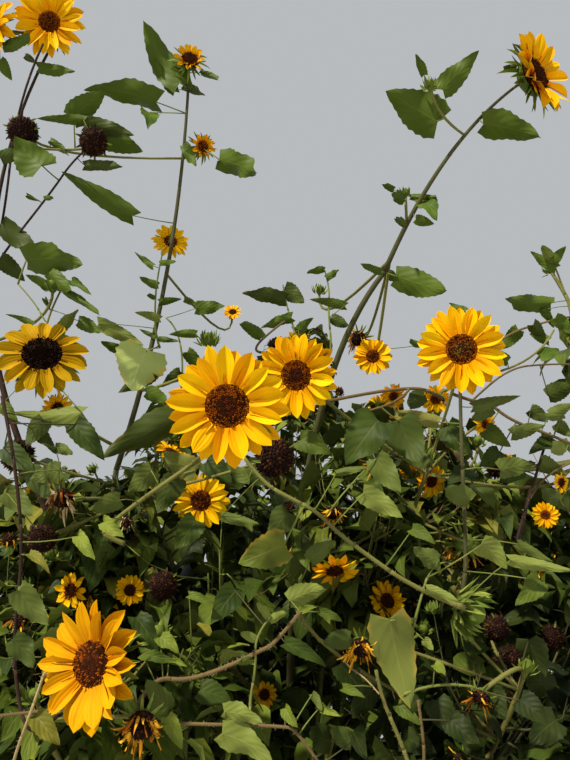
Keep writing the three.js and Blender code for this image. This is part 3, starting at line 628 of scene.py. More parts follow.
# The crown's upper edge in the photograph's pixels: growth thins out over it.
crownLine = {
    "across": (-250, 0, 58, 66, 126, 132, 165, 200, 240, 300, 335, 344, 376, 382, 450, 475, 570, 800),
    "down": (340, 388, 396, 468, 468, 392, 394, 345, 318, 296, 305, 396, 396, 374, 372, 362, 345, 300),
    "fade": 16,
}


def overCrown(*spots):
    for spot in spots:
        across, down = pixelOf(spot)
        line = np.interp(across, crownLine["across"], crownLine["down"])
        inRange = crownLine["across"][0] < across < crownLine["across"][-1]
        if down < line and inRange and chances() > math.exp((down - line) / crownLine["fade"]):
            return True
    return False


# Shapes that are repeated
class Shape:
    def __init__(self, bm):
        flat = bm.loops.layers.uv.active
        bm.verts.index_update()
        loops = [loop for face in bm.faces for loop in face.loops]
        self.points = np.array([list(corner.co) for corner in bm.verts], np.float32)
        self.corners = np.array([loop.vert.index for loop in loops], np.int32)
        self.counts = np.array([len(face.loops) for face in bm.faces], np.int32)
        self.flat = np.array([list(loop[flat].uv) if flat else (0, 0) for loop in loops], np.float32)
        bm.free()


# A grid whose corners are moved by place(across, along): across runs from -1 to 1 and along from 0 to 1.
def sheetShape(columns, rows, place):
    bm = bmesh.new()
    bmesh.ops.create_grid(bm, x_segments=columns, y_segments=rows, size=0.5)
    flat = bm.loops.layers.uv.new("flat")
    for face in bm.faces:
        for loop in face.loops:
            loop[flat].uv = (loop.vert.co.x + 0.5, loop.vert.co.y + 0.5)
    for corner in bm.verts:
        corner.co = place(round(corner.co.x * 2, 4), round(corner.co.y + 0.5, 4))
    bmesh.ops.remove_doubles(bm, verts=bm.verts, dist=1e-5)
    return Shape(bm)


def profile(share, peak, sharp):
    return math.sin(math.pi * min(max(share, 0), 1) ** peak) ** sharp


# The kinds of a shape at both levels of detail, each kind with its own seed.
def kindsOf(makeShape, form):
    return {detail: [makeShape(*form[detail], seeded(form["seed"] + k)) for k in range(form["kinds"])]
            for detail in ("fine", "coarse")}


# A leaf is one long and one wide before it is placed: heart shaped, toothed, folded along its midrib.
blade = {
    "kinds": 12, "seed": 300, "seedStep": 40, "peak": 0.54, "sharp": 0.76, "lobe": 0.18,
    "fold": (0.05, 0.42), "arch": (0.02, 0.22), "hang": (0.05, 0.42), "twist": (-0.7, 0.7),
    "wave": (0.02, 0.07), "phase": (0, 6), "skew": (-0.07, 0.07), "pace": (8, 13),
    "cuts": {"large": (4, 8, 0.07), "small": (2, 6, 0.05), "near": (6, 17, 0.045)},     # columns, rows, teeth
    "calm": {"large": 1, "small": 1, "near": 0.5},
}


def leafShape(columns, rows, tooth, calm, random):
    fold, arch, hang, twist = (random(*blade[key]) * calm for key in ("fold", "arch", "hang", "twist"))
    wave, phase, skew, pace = (random(*blade[key]) for key in ("wave", "phase", "skew", "pace"))

    def place(across, along):
        wide = 0.5 * profile(along, blade["peak"], blade["sharp"])
        row = round(along * rows)
        if abs(across) > 0.99 and 0 < row < rows:
            wide *= 1 + tooth * (1 if row % 2 else -1)
        x = across * wide + skew * math.sin(along * math.pi)
        y = along - blade["lobe"] * abs(across) ** 1.4 * (1 - along) ** 3.5 * (1 if along > 0 else 0)
        z = fold * abs(across) ** 1.3 * wide + arch * math.sin(along * math.pi) - hang * along ** 2.4
        z += wave * math.sin(along * pace + phase + (2 if across > 0 else 0)) * abs(across) ** 1.5
        turn = twist * along ** 1.5
        return Vector((x * math.cos(turn) - z * math.sin(turn) * 0.3, y, z + x * math.sin(turn)))
    return sheetShape(columns, rows, place)


def leafKinds(size, cut):
    firstSeed = blade["seed"] + cut[0] * blade["seedStep"]
    return [leafShape(*cut, blade["calm"][size], seeded(firstSeed + k)) for k in range(blade["kinds"])]


leafShapes = {size: leafKinds(size, cut) for size, cut in blade["cuts"].items()}

# A ray floret has a narrow root, two grooves and a pointed tip.
rayForm = {
    "fine": (6, 7), "coarse": (2, 4), "kinds": 8, "seed": 400, "root": 0.60, "groove": 0.04,
    "peak": 1.12, "sharp": 0.62, "from": 0.06,
    "cup": (0.02, 0.22), "curl": (-0.18, 0.14), "twist": (-0.35, 0.35), "skew": (-0.05, 0.05),
}


def rayShape(columns, rows, random):
    cup, curl, twist, skew = (random(*rayForm[key]) for key in ("cup", "curl", "twist", "skew"))

    def place(across, along):
        swell = profile(along * (1 - rayForm["from"]) + rayForm["from"], rayForm["peak"], rayForm["sharp"])
        root = rayForm["root"] * (1 - along) ** 3
        wide = 0.5 * (root + swell * (1 - root))
        x = across * wide + skew * math.sin(along * 3)
        z = cup * abs(across) ** 2 * wide * 2 - rayForm["groove"] * math.cos(across * 2 * math.pi) * wide * 1.2
        z += curl * along ** 2
        turn = twist * along
        return Vector((x * math.cos(turn), along, z + x * math.sin(turn)))
    return sheetShape(columns, rows, place)


rayShapes = kindsOf(rayShape, rayForm)

# A dried ray is a narrow ribbon that curls and turns.
ribbonForm = {
    "fine": (6,), "coarse": (3,), "kinds": 8, "seed": 430, "wide": 0.24,
    "curl": (0.3, 2.6), "turns": (-4.0, 4.0), "bow": (-0.15, 0.15),
}


def ribbonShape(rows, random):
    curl, turns, bow = (random(*ribbonForm[key]) for key in ("curl", "turns", "bow"))

    def place(across, along):
        turn = turns * along + 0.4
        bent = curl * along ** 1.6
        wide = 0.5 * (0.35 + 0.65 * math.sin(math.pi * min(along * 0.9 + 0.08, 1)))
        x = across * wide * math.cos(turn) * ribbonForm["wide"] + bow * math.sin(along * 3)
        z = (math.cos(bent) - 1) / curl + across * wide * math.sin(turn) * ribbonForm["wide"]
        return Vector((x, math.sin(bent) / curl, z))
    return sheetShape(2, rows, place)


ribbonShapes = kindsOf(ribbonShape, ribbonForm)

# A bract is a narrow green scale with a long point.
bractForm = {
    "fine": (5,), "coarse": (2,), "kinds": 8, "seed": 460,
    "curl": (-0.34, 0.24), "fold": (0.1, 0.5), "lean": (-0.12, 0.12),
}


def bractShape(rows, random):
    curl, fold, lean = (random(*bractForm[key]) for key in ("curl", "fold", "lean"))

    def place(across, along):
        wide = 0.5 * (1 - along) ** 0.75 * (0.72 + 1.1 * along) * (1 - 0.25 * along)
        return Vector((across * wide + lean * along ** 2, along, fold * abs(across) * wide + curl * along ** 2))
    return sheetShape(2, rows, place)


bractShapes = kindsOf(bractShape, bractForm)


def coneShape(segments):
    bm = bmesh.new()
    bmesh.ops.create_cone(bm, cap_ends=False, segments=segments, radius1=1, radius2=0, depth=1)
    bmesh.ops.translate(bm, verts=bm.verts, vec=(0, 0, 0.5))
    return Shape(bm)


floretShape = coneShape(4)
bristleShape = coneShape(3)


def domeShape(segments):
    bm = bmesh.new()
    bmesh.ops.create_uvsphere(bm, u_segments=segments, v_segments=segments // 2 + 1, radius=1)
    return Shape(bm)


domes = {"fine": domeShape(14), "coarse": domeShape(8)}


# A tube from z = 0 to 1 whose walls have even steps: the radius is foot below and 1 above.
def tube(segments, steps, foot, capped):
    bm = bmesh.new()
    bmesh.ops.create_cone(bm, cap_ends=capped, segments=segments, radius1=foot, radius2=1, depth=1)
    bmesh.ops.translate(bm, verts=bm.verts, vec=(0, 0, 0.5))
    walls = [edge for edge in bm.edges if abs(edge.verts[0].co.z - edge.verts[1].co.z) > 0.5]
    if steps > 1:
        bmesh.ops.subdivide_edges(bm, edges=walls, cuts=steps - 1, use_grid_fill=True)
    return bm


# A tube's flat map goes around it and along it, and runs on over the seam.
def wrapFlat(bm, stretch=1):
    flat = bm.loops.layers.uv.new("flat")
    for face in bm.faces:
        turns = [math.atan2(loop.vert.co.y, loop.vert.co.x) / (2 * math.pi) % 1 for loop in face.loops]
        wraps = max(turns) - min(turns) > 0.5
        for loop, turn in zip(face.loops, turns):
            loop[flat].uv = (turn + 1 if wraps and turn < 0.5 else turn, loop.vert.co.z * stretch)


# The cup behind the rays, from the stalk to its rim.
cupForm = {"fine": (14, 4), "coarse": (8, 2), "foot": 0.30, "neck": 0.24, "curve": 0.7}


def cupShape(segments, steps):
    bm = tube(segments, steps, cupForm["foot"], False)
    for corner in bm.verts:
        share = corner.co.z
        out = cupForm["neck"] + (1 - cupForm["neck"]) * math.sin(share * math.pi / 2) ** cupForm["curve"]
        flat = Vector((corner.co.x, corner.co.y, 0)).normalized() * out
        corner.co = Vector((flat.x, flat.y, share - 1))
    return Shape(bm)


cups = {detail: cupShape(*cupForm[detail]) for detail in ("fine", "coarse")}


# A round limb with its rings at even steps: x and y on the unit circle, z from 0 to 1.
def limbShape(sides, steps, ribs=0, depth=0.0):
    bm = tube(sides, steps, 1, True)
    wrapFlat(bm)
    for corner in bm.verts:
        out = 1 + depth * math.cos(math.atan2(corner.co.y, corner.co.x) * ribs)
        corner.co.x *= out
        corner.co.y *= out
    return Shape(bm)


limbCuts = {                          # sides and steps, then how many ribs and how deep
    "petiole": (3, 2), "stub": (3, 1), "side": (4, 3), "twig": (6, 5),
    "stalk": (10, 8, 5, 0.07), "line": (16, 18, 8, 0.07), "bough": (20, 26, 10, 0.08),
}
limbShapes = {kind: limbShape(*cut) for kind, cut in limbCuts.items()}
print("shapes ready")


def unit(rows):
    return rows / np.maximum(np.linalg.norm(rows, axis=2, keepdims=True), 1e-6)


# Gathers many copies of the shapes and joins them into one mesh.
class Heap:
    def __init__(self, name, materials):
        self.name, self.materials = name, materials
        self.copies, self.blocks = {}, []

    # x, y and z are where the shape's own axes go, and tint is the number of its material.
    def add(self, shape, spot, x, y, z, tint):
        self.copies.setdefault(shape, []).append((*spot, *x, *y, *z, tint))

    # Round limbs that follow a curve from start to end, drawn towards bend.
    def addBent(self, shape, lines):
        rows = np.array([[*start, *bend, *end, *reference, foot, tip, tint]
                         for start, bend, end, reference, foot, tip, tint in lines], np.float32)
        start, bend, end, reference = (rows[:, None, k:k + 3] for k in (0, 3, 6, 9))
        foot, tip = rows[:, 12][:, None, None], rows[:, 13][:, None, None]
        x, y, share = (shape.points[None, :, k:k + 1] for k in range(3))
        points = start * (1 - share) ** 2 + bend * 2 * (1 - share) * share + end * share ** 2
        along = unit((bend - start) * (1 - share) + (end - bend) * share)
        normal = unit(np.cross(np.broadcast_to(reference, along.shape), along))
        points = points + (normal * x + np.cross(along, normal) * y) * (foot + (tip - foot) * share)
        flat = np.repeat(shape.flat[None], len(lines), 0)
        flat[:, :, 1] *= np.linalg.norm(rows[:, 6:9] - rows[:, 0:3], axis=1)[:, None] * 0.01
        self.blocks.append((shape, points, flat, rows[:, 14].astype(np.int32)))

    def placeCopies(self):
        for shape, rows in self.copies.items():
            rows = np.array(rows, np.float32)
            axes = rows[:, 3:12].reshape(-1, 3, 3)
            points = rows[:, None, :3] + np.einsum("vk,nkc->nvc", shape.points, axes)
            flat = np.repeat(shape.flat[None], len(rows), 0)
            self.blocks.append((shape, points, flat, rows[:, 12].astype(np.int32)))

    def build(self, slot, nodes):
        self.placeCopies()
        points, corners, counts, tinted, flats, offset = [], [], [], [], [], 0
        for shape, spots, flat, numbers in self.blocks:
            many, size = spots.shape[0], spots.shape[1]
            starts = offset + np.arange(many, dtype=np.int32) * size
            points.append(spots.reshape(-1, 3))
            corners.append((shape.corners[None] + starts[:, None]).ravel())
            counts.append(np.tile(shape.counts, many))
            tinted.append(np.repeat(numbers, len(shape.counts)))
            flats.append(flat.reshape(-1, 2))
            offset += many * size
        points = np.concatenate(points) * metres
        corners, counts = np.concatenate(corners), np.concatenate(counts)
        mesh = bpy.data.meshes.new(self.name)
        mesh.vertices.add(len(points))
        mesh.vertices.foreach_set("co", points.astype(np.float32).ravel())
        mesh.loops.add(len(corners))
        mesh.loops.foreach_set("vertex_index", corners)
        mesh.polygons.add(len(counts))
        mesh.polygons.foreach_set("loop_start", np.concatenate(([0], np.cumsum(counts)[:-1])).astype(np.int32))
        mesh.polygons.foreach_set("material_index", np.concatenate(tinted))
        mesh.polygons.foreach_set("use_smooth", np.ones(len(counts), bool))
        mesh.uv_layers.new(name="flat").data.foreach_set("uv", np.concatenate(flats).ravel())
        for material in self.materials:
            mesh.materials.append(material)
        mesh.update(calc_edges=True)
        mesh.validate()
        finishPiece(self.name, mesh, nodes, int((counts - 2).sum()))


def finishPiece(name, mesh, nodes, triangles):
    piece = newObject(name, mesh)
    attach(piece, "root")
    if nodes:
        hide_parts(*nodes)
    print(f"{name}: {triangles} triangles")


# Materials
class Tree:
    def __init__(self, tree):
        self.nodes, self.links = tree.nodes, tree.links

    def node(self, kind, **settings):
        made = self.nodes.new(kind)
        for key, value in settings.items():
            setattr(made, key, value)
        return made

    def feed(self, socket, value):
        if isinstance(value, bpy.types.NodeSocket):
            self.links.new(value, socket)
        else:
            socket.default_value = value

    def math(self, operation, first, second=0.0, clamp=False):
        made = self.node("ShaderNodeMath", operation=operation, use_clamp=clamp)
        self.feed(made.inputs[0], first)
        self.feed(made.inputs[1], second)
        return made.outputs[0]

    def times(self, first, second):
        return self.math("MULTIPLY", first, second)

    # What is left of one.
    def rest(self, value):
        return self.math("SUBTRACT", 1.0, value)

    # From 0 to 1 as the value goes from low to high.
    def ramp(self, value, low, high):
        made = self.node("ShaderNodeMapRange", interpolation_type="SMOOTHSTEP")
        for socket, entry in zip(made.inputs, (value, low, high, 0.0, 1.0)):
            self.feed(socket, entry)
        return made.outputs[0]

    def blend(self, share, first, second):
        made = self.node("ShaderNodeMix", data_type="RGBA", blend_type="MIX")
        self.feed(made.inputs["Factor"], share)
        self.feed(made.inputs[6], first)
        self.feed(made.inputs[7], second)
        return made.outputs[2]

    def flat(self):
        return self.node("ShaderNodeUVMap", uv_map="flat").outputs[0]

    # Across and along on the flat map.
    def flatParts(self):
        split = self.node("ShaderNodeSeparateXYZ")
        self.feed(split.inputs[0], self.flat())
        return split.outputs[0], split.outputs[1]

    # Noise over the object, or stretched along its flat map.
    def noise(self, scale, detail=3.0, stretch=None):
        place = self.node("ShaderNodeTexCoord").outputs["Object"]
        if stretch:
            mapping = self.node("ShaderNodeMapping")
            self.feed(mapping.inputs["Vector"], self.flat())
            mapping.inputs["Scale"].default_value = stretch
            place = mapping.outputs[0]
        made = self.node("ShaderNodeTexNoise")
        self.feed(made.inputs["Vector"], place)
        self.feed(made.inputs["Scale"], scale)
        self.feed(made.inputs["Detail"], detail)
        return made.outputs["Fac"]

    def use(self, group, **values):
        made = self.node("ShaderNodeGroup", node_tree=group)
        for key, value in values.items():
            self.feed(made.inputs[key], value)
        return made.outputs


def newGroup(name, inputs, outputs):
    group = bpy.data.node_groups.new(name, "ShaderNodeTree")
    for label, kind, value in inputs:
        group.interface.new_socket(name=label, in_out="INPUT", socket_type=kind).default_value = value
    for label, kind in outputs:
        group.interface.new_socket(name=label, in_out="OUTPUT", socket_type=kind)
    tree = Tree(group)
    return group, tree, tree.node("NodeGroupInput").outputs, tree.node("NodeGroupOutput").inputs


floatSocket, colourSocket = "NodeSocketFloat", "NodeSocketColor"

# Light and dark patches that drift over a surface.
driftGroup, tree, given, put = newGroup(
    "drift", [("Light", colourSocket, (1, 1, 1, 1)), ("Dark", colourSocket, (0, 0, 0, 1)),
              ("Scale", floatSocket, 30.0), ("Spread", floatSocket, 0.2)],
    [("Colour", colourSocket), ("Patch", floatSocket)])
patch = tree.ramp(tree.noise(given["Scale"]), tree.math("SUBTRACT", 0.5, given["Spread"]),
                  tree.math("ADD", 0.5, given["Spread"]))
tree.feed(put["Colour"], tree.blend(patch, given["Dark"], given["Light"]))
tree.feed(put["Patch"], patch)

# The midrib and side veins of a leaf, from its flat map.
veinGroup, tree, given, put = newGroup(
    "veins", [("Side veins", floatSocket, 5.0), ("Slant", floatSocket, 0.42)],
    [("Vein", floatSocket), ("Edge", floatSocket), ("Height", floatSocket)])
flatAcross, along = tree.flatParts()
across = tree.math("ABSOLUTE", tree.math("SUBTRACT", tree.times(flatAcross, 2.0), 1.0))
slanted = tree.math("SUBTRACT", along, tree.times(across, given["Slant"]))
wave = tree.math("PINGPONG", tree.times(slanted, given["Side veins"]), 0.5)
sideVein = tree.times(tree.rest(tree.ramp(wave, 0.0, 0.07)), tree.rest(tree.ramp(across, 0.55, 0.98)))
midrib = tree.rest(tree.ramp(across, 0.015, 0.075))
tree.feed(put["Vein"], tree.math("MAXIMUM", midrib, tree.times(sideVein, 0.6)))
tree.feed(put["Edge"], tree.ramp(across, 0.62, 1.0))
tree.feed(put["Height"], tree.math("SUBTRACT", tree.times(wave, 1.2), tree.times(midrib, 0.4)))

# The grooves along a ray, and its darker root.
grooveGroup, tree, given, put = newGroup(
    "grooves", [("Lines", floatSocket, 5.0)],
    [("Root", floatSocket), ("Line", floatSocket), ("Height", floatSocket)])
across, along = tree.flatParts()
wave = tree.math("PINGPONG", tree.times(across, given["Lines"]), 0.5)
tree.feed(put["Root"], tree.rest(tree.ramp(along, 0.04, 0.55)))
tree.feed(put["Line"], tree.rest(tree.ramp(wave, 0.0, 0.2)))
tree.feed(put["Height"], wave)


def started(name):
    material = bpy.data.materials.new(name)
    material.use_nodes = True
    return material, Tree(material.node_tree)


def drifting(tree, light, dark, scale, spread):
    return tree.use(driftGroup, Light=(*light, 1), Dark=(*dark, 1), Scale=scale, Spread=spread)


# Every material ends here: colour and height come from nodes, the rest is set on the shader.
def finish(material, tree, colour, height, skin):
    shader = material.node_tree.nodes["Principled BSDF"]
    tree.feed(shader.inputs["Base Color"], colour)
    shader.inputs["Roughness"].default_value = skin["roughness"]
    shader.inputs["Specular IOR Level"].default_value = skin["specular"]
    if height is not None:
        strength, distance = skin["bump"]
        bumps = tree.node("ShaderNodeBump")
        bumps.inputs["Strength"].default_value = strength
        bumps.inputs["Distance"].default_value = distance
        tree.feed(bumps.inputs["Height"], height)
        tree.feed(shader.inputs["Normal"], bumps.outputs[0])
    return material


leafSkin = {
    "patch": 26.0, "spread": 0.16, "vein": 0.55, "veinBelow": 0.4, "bump": (0.45, 0.0013),
    "edgePatch": 34.0, "edgeFrom": (0.46, 0.60), "edge": 0.7, "roughness": 0.5, "specular": 0.10,
}


def leafMaterial(name, light, dark, under, vein, edge=None):
    material, tree = started(name)
    drift = drifting(tree, light, dark, leafSkin["patch"], leafSkin["spread"])
    veins = tree.use(veinGroup)
    colour = tree.blend(tree.times(veins["Vein"], leafSkin["vein"]), drift["Colour"], (*vein, 1))
    below = tree.blend(tree.times(veins["Vein"], leafSkin["veinBelow"]), (*under, 1), (*vein, 1))
    colour = tree.blend(tree.node("ShaderNodeNewGeometry").outputs["Backfacing"], colour, below)
    if edge:
        dry = tree.ramp(tree.noise(leafSkin["edgePatch"]), *leafSkin["edgeFrom"])
        share = tree.math("MULTIPLY", veins["Edge"], dry, clamp=True)
        colour = tree.blend(tree.times(share, leafSkin["edge"]), colour, (*edge, 1))
    return finish(material, tree, colour, veins["Height"], leafSkin)


raySkin = {
    "patch": 40.0, "spread": 0.2, "dim": 0.86, "line": 0.45, "root": 0.65, "bump": (0.6, 0.0010),
    "roughness": 0.6, "specular": 0.05,
}


def rayMaterial(name, tip, root, line):
    material, tree = started(name)
    dim = [c * raySkin["dim"] for c in tip]
    drift = drifting(tree, tip, dim, raySkin["patch"], raySkin["spread"])
    groove = tree.use(grooveGroup)
    colour = tree.blend(tree.times(groove["Line"], raySkin["line"]), drift["Colour"], (*line, 1))
    colour = tree.blend(tree.times(groove["Root"], raySkin["root"]), colour, (*root, 1))
    return finish(material, tree, colour, groove["Height"], raySkin)


def plainMaterial(name, light, dark, scale=300.0, specular=0.08, roughness=0.75, bumpy=True):
    material, tree = started(name)
    drift = drifting(tree, light, dark, scale, 0.22)
    skin = {"bump": (0.3, 0.0004), "roughness": roughness, "specular": specular}
    return finish(material, tree, drift["Colour"], drift["Patch"] if bumpy else None, skin)


barkSkin = {
    "patch": 14.0, "spread": 0.2, "streak": 6.0, "detail": 4.0, "stretch": (6.0, 0.5, 1.0),
    "blush": (0.42, 0.68), "bump": (0.5, 0.0010), "roughness": 0.7, "specular": 0.15,
}


def barkMaterial(name, light, dark, blush):
    material, tree = started(name)
    drift = drifting(tree, light, dark, barkSkin["patch"], barkSkin["spread"])
    streak = tree.noise(barkSkin["streak"], barkSkin["detail"], barkSkin["stretch"])
    colour = tree.blend(tree.ramp(streak, *barkSkin["blush"]), drift["Colour"], (*blush, 1))
    return finish(material, tree, colour, streak, barkSkin)


# Each look gives its material's number to what grows.
def numbered(looks):
    return {name: k for k, name in enumerate(looks)}


leafLooks = {                         # light, dark, underside, veins and, where they are dry, the edges
    # painted shade: the darkest green, for leaves in deep shade
    "dusk": ((0.026, 0.038, 0.007), (0.011, 0.019, 0.003), (0.028, 0.040, 0.008), (0.05, 0.06, 0.014)),
    # painted shade: a dark green, for leaves deep in the crown
    "deep": ((0.044, 0.068, 0.009), (0.020, 0.035, 0.005), (0.050, 0.070, 0.012), (0.08, 0.10, 0.02)),
    "mid": ((0.090, 0.122, 0.014), (0.050, 0.076, 0.009), (0.092, 0.118, 0.022), (0.15, 0.17, 0.035)),
    "fresh": ((0.178, 0.210, 0.025), (0.115, 0.148, 0.017), (0.165, 0.196, 0.038), (0.25, 0.28, 0.07)),
    "olive": ((0.205, 0.185, 0.024), (0.120, 0.118, 0.015), (0.190, 0.180, 0.040), (0.30, 0.27, 0.06)),
    "edged": ((0.130, 0.155, 0.018), (0.070, 0.092, 0.012), (0.130, 0.148, 0.030), (0.20, 0.20, 0.04),
              (0.32, 0.20, 0.028)),
    # painted shade on a leaf in shadow, with its real dry brown edge
    "shaded": ((0.044, 0.064, 0.008), (0.022, 0.036, 0.005), (0.050, 0.068, 0.012), (0.07, 0.09, 0.02),
               (0.20, 0.12, 0.020)),
    "dry": ((0.085, 0.056, 0.014), (0.040, 0.024, 0.008), (0.080, 0.056, 0.018), (0.12, 0.08, 0.03)),
    "clear": ((0.085, 0.135, 0.012), (0.052, 0.092, 0.008), (0.072, 0.110, 0.011), (0.11, 0.15, 0.02)),
    # painted light: sunlight shining through the leaf, with its real dry yellow edge
    "pale": ((0.500, 0.580, 0.180), (0.400, 0.480, 0.130), (0.500, 0.590, 0.180), (0.62, 0.68, 0.24),
             (0.80, 0.50, 0.050)),
}
leafMaterials = [leafMaterial(f"leaf_{name}", *look) for name, look in leafLooks.items()]
leafTint = numbered(leafLooks)

rayLooks = {                          # tip, root and lines
    "gold": ((0.95, 0.500, 0.001), (0.82, 0.31, 0.001), (0.78, 0.34, 0.001)),
    "amber": ((0.90, 0.430, 0.001), (0.72, 0.24, 0.001), (0.70, 0.28, 0.001)),
    "lemon": ((0.96, 0.570, 0.002), (0.84, 0.37, 0.001), (0.82, 0.41, 0.001)),
    # a deeper orange, partly the rays' own colour and partly painted shade
    "warm": ((0.74, 0.355, 0.001), (0.60, 0.21, 0.001), (0.56, 0.23, 0.001)),
    # painted shade: dull rays for a head that stands in shadow
    "dull": ((0.50, 0.29, 0.002), (0.38, 0.17, 0.002), (0.34, 0.17, 0.002)),
}
rayMaterials = [rayMaterial(f"ray_{name}", *look) for name, look in rayLooks.items()]
rayTint = numbered(rayLooks)

# The material's name, light, dark, scale of the patches and, where it isn't the usual one, the specular.
greenLooks = {
    "green": ("bract_green", (0.150, 0.200, 0.030), (0.080, 0.120, 0.018), 60.0),
    "pale": ("bract_pale", (0.300, 0.350, 0.070), (0.190, 0.240, 0.040), 60.0),
    "brown": ("bract_brown", (0.070, 0.045, 0.018), (0.026, 0.018, 0.010), 80.0),
}
discLooks = {
    "dark": ("floret_dark", (0.055, 0.016, 0.004), (0.022, 0.007, 0.003), 300.0, 0.03),
    "rust": ("floret_rust", (0.310, 0.074, 0.004), (0.170, 0.036, 0.003), 300.0, 0.03),
    "gold": ("floret_gold", (0.600, 0.190, 0.006), (0.360, 0.098, 0.004), 300.0, 0.03),
    "green": ("floret_green", (0.200, 0.155, 0.020), (0.105, 0.082, 0.012), 300.0, 0.03),
    "wine": ("floret_wine", (0.130, 0.024, 0.008), (0.056, 0.011, 0.005), 300.0, 0.03),
    "huskDark": ("husk_dark", (0.026, 0.009, 0.005), (0.010, 0.004, 0.003)),
    "huskBrown": ("husk_brown", (0.095, 0.034, 0.012), (0.040, 0.014, 0.006)),
    "straw": ("straw", (0.900, 0.480, 0.030), (0.640, 0.270, 0.012), 90.0),
    "strawRust": ("straw_rust", (0.420, 0.130, 0.010), (0.190, 0.050, 0.006), 90.0),
    "strawPale": ("straw_pale", (0.780, 0.600, 0.320), (0.480, 0.320, 0.140), 90.0),
    # painted shade: near-black florets for a head in shadow
    "huskBlack": ("husk_black", (0.008, 0.004, 0.002), (0.004, 0.002, 0.001), 300.0, 0.0),
}
greenMaterials = [plainMaterial(*look) for look in greenLooks.values()]
discMaterials = [plainMaterial(*look) for look in discLooks.values()]
greenTint, discTint = numbered(greenLooks), numbered(discLooks)

barkLooks = {                         # the material's name, light, dark and blush
    "green": ("stem_green", (0.200, 0.215, 0.050), (0.110, 0.125, 0.026), (0.210, 0.140, 0.045)),
    "red": ("stem_red", (0.180, 0.104, 0.046), (0.105, 0.050, 0.024), (0.145, 0.135, 0.038)),
    "dark": ("stem_dark", (0.040, 0.022, 0.013), (0.018, 0.010, 0.007), (0.058, 0.024, 0.014)),
    "fresh": ("twig_green", (0.190, 0.225, 0.042), (0.110, 0.145, 0.024), (0.260, 0.265, 0.070)),
    "straw": ("twig_straw", (0.480, 0.360, 0.160), (0.300, 0.210, 0.090), (0.360, 0.250, 0.110)),
    # painted shade: the green bark darkened, for stems and twigs in shadow
    "shade": ("stem_shade", (0.078, 0.088, 0.026), (0.040, 0.048, 0.016), (0.085, 0.052, 0.026)),
}
barkMaterials = [barkMaterial(*look) for look in barkLooks.values()]
barkTint = numbered(barkLooks)
# the two shoots in shadow take the shade bark: painted shade
limbTints = {"shoot_left": "dark", "shoot_right": "shade", "shoot_middle": "shade"}
hairMaterials = [plainMaterial("bristle", (0.60, 0.57, 0.38), (0.46, 0.44, 0.28), bumpy=False)]
print("materials:", len(bpy.data.materials))

# Floor
floorForm = {"radius": 6.0, "sides": 96, "light": (0.62, 0.61, 0.58), "dim": 0.97}
bm = bmesh.new()
bmesh.ops.create_circle(bm, cap_ends=True, segments=floorForm["sides"], radius=floorForm["radius"])
floorMesh = bpy.data.meshes.new("floor")
bm.to_mesh(floorMesh)
bm.free()
floor = newObject("floor", floorMesh)
dark = [c * floorForm["dim"] for c in floorForm["light"]]
pale = plainMaterial("pale_floor", floorForm["light"], dark, 3.0, roughness=0.85, bumpy=False)
floorMesh.materials.append(pale)
floor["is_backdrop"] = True


# What grows, gathered by kind
regions = ["low", "middle", "high", "tall"]


def regionOf(mass):
    prefix = mass.name.split("_")[0]
    return prefix if prefix in regions else "tall"


leafHeaps = {name: Heap(f"leaves_{name}", leafMaterials) for name in regions}
rayHeap = Heap("rays", rayMaterials)
greenHeap = Heap("bracts", greenMaterials)
discHeap = Heap("discs", discMaterials)
twigLines = {name: {kind: [] for kind in limbShapes} for name in regions}
carriers = []                         # every limb that a leaf can hang on, and its mass's name
hairyLines = []                       # limbs with bristles, and how many to each of their millimetres
hairiness = {"stalk": 0.5, "tall": 0.5, "limb": 0.15, "bough": 0.2}


def addLine(region, kind, start, bend, end, foot, tip, tint, reference=None):
    reference = reference or leastAxis(end - start)
    twigLines[region][kind].append((start, bend, end, reference, foot, tip, barkTint[tint]))


def addLimb(region, kind, limb, tint):
    addLine(region, kind, limb.start, limb.bend, limb.end, limb.foot, limb.tip, tint, limb.reference)


# One leaf: a stalk from the twig and a blade from the stalk's end to the tip.
stalk = {
    "share": 0.32, "lift": 0.10, "bendShare": 0.35, "bendLift": 1.3, "thick": 0.011, "least": 0.55,
    "foot": 1.2, "tip": 0.8, "fresh": 0.8,
}
# The leaf tints that paint shade: their stalks take the shade bark.
paintedShadeTints = ("dusk", "deep")


def addBlade(region, base, tip, width, side, tint, pick, size):
    along = tip - base
    length = along.length
    along.normalize()
    above = side.cross(along).normalized()
    shape = leafShapes[size][int(pick * blade["kinds"]) % blade["kinds"]]
    leafHeaps[region].add(shape, base, side * width, along * length, above * length, leafTint[tint])


def addLeaf(mass, spot, tip, width, tilt, tint, pick, size):
    region, way = regionOf(mass), tip - spot
    lift = up * way.length * stalk["lift"]
    neck = spot + way * stalk["share"] + lift
    bend = spot + way * stalk["share"] * stalk["bendShare"] + lift * stalk["bendLift"]
    thick = max(way.length * stalk["thick"], stalk["least"])
    # The stalk of a leaf with painted shade gets the shade bark, painted shade as well.
    stalkTint = "shade" if tint in paintedShadeTints else "fresh" if pick < stalk["fresh"] else "red"
    addLine(region, "stub" if size == "small" else "petiole", spot, bend, neck,
            thick * stalk["foot"], thick * stalk["tip"], stalkTint)
    along = (tip - neck).normalized()
    side = along.cross(up)
    side = side.normalized() if side.length > 0.2 else along.cross(Vector((1, 0, 0))).normalized()
    addBlade(region, neck, tip, width, Quaternion(along, tilt) @ side, tint, pick, size)


# The tints of a spray: most of its leaves share one. Deeper in the crown, and in the part that lies in deep
# shade, they are darker: painted shade.
paintedShadePart = {"across": (340, 700), "top": 560, "foot": 1400, "roll": 0.12}      # deep shade, in pixels
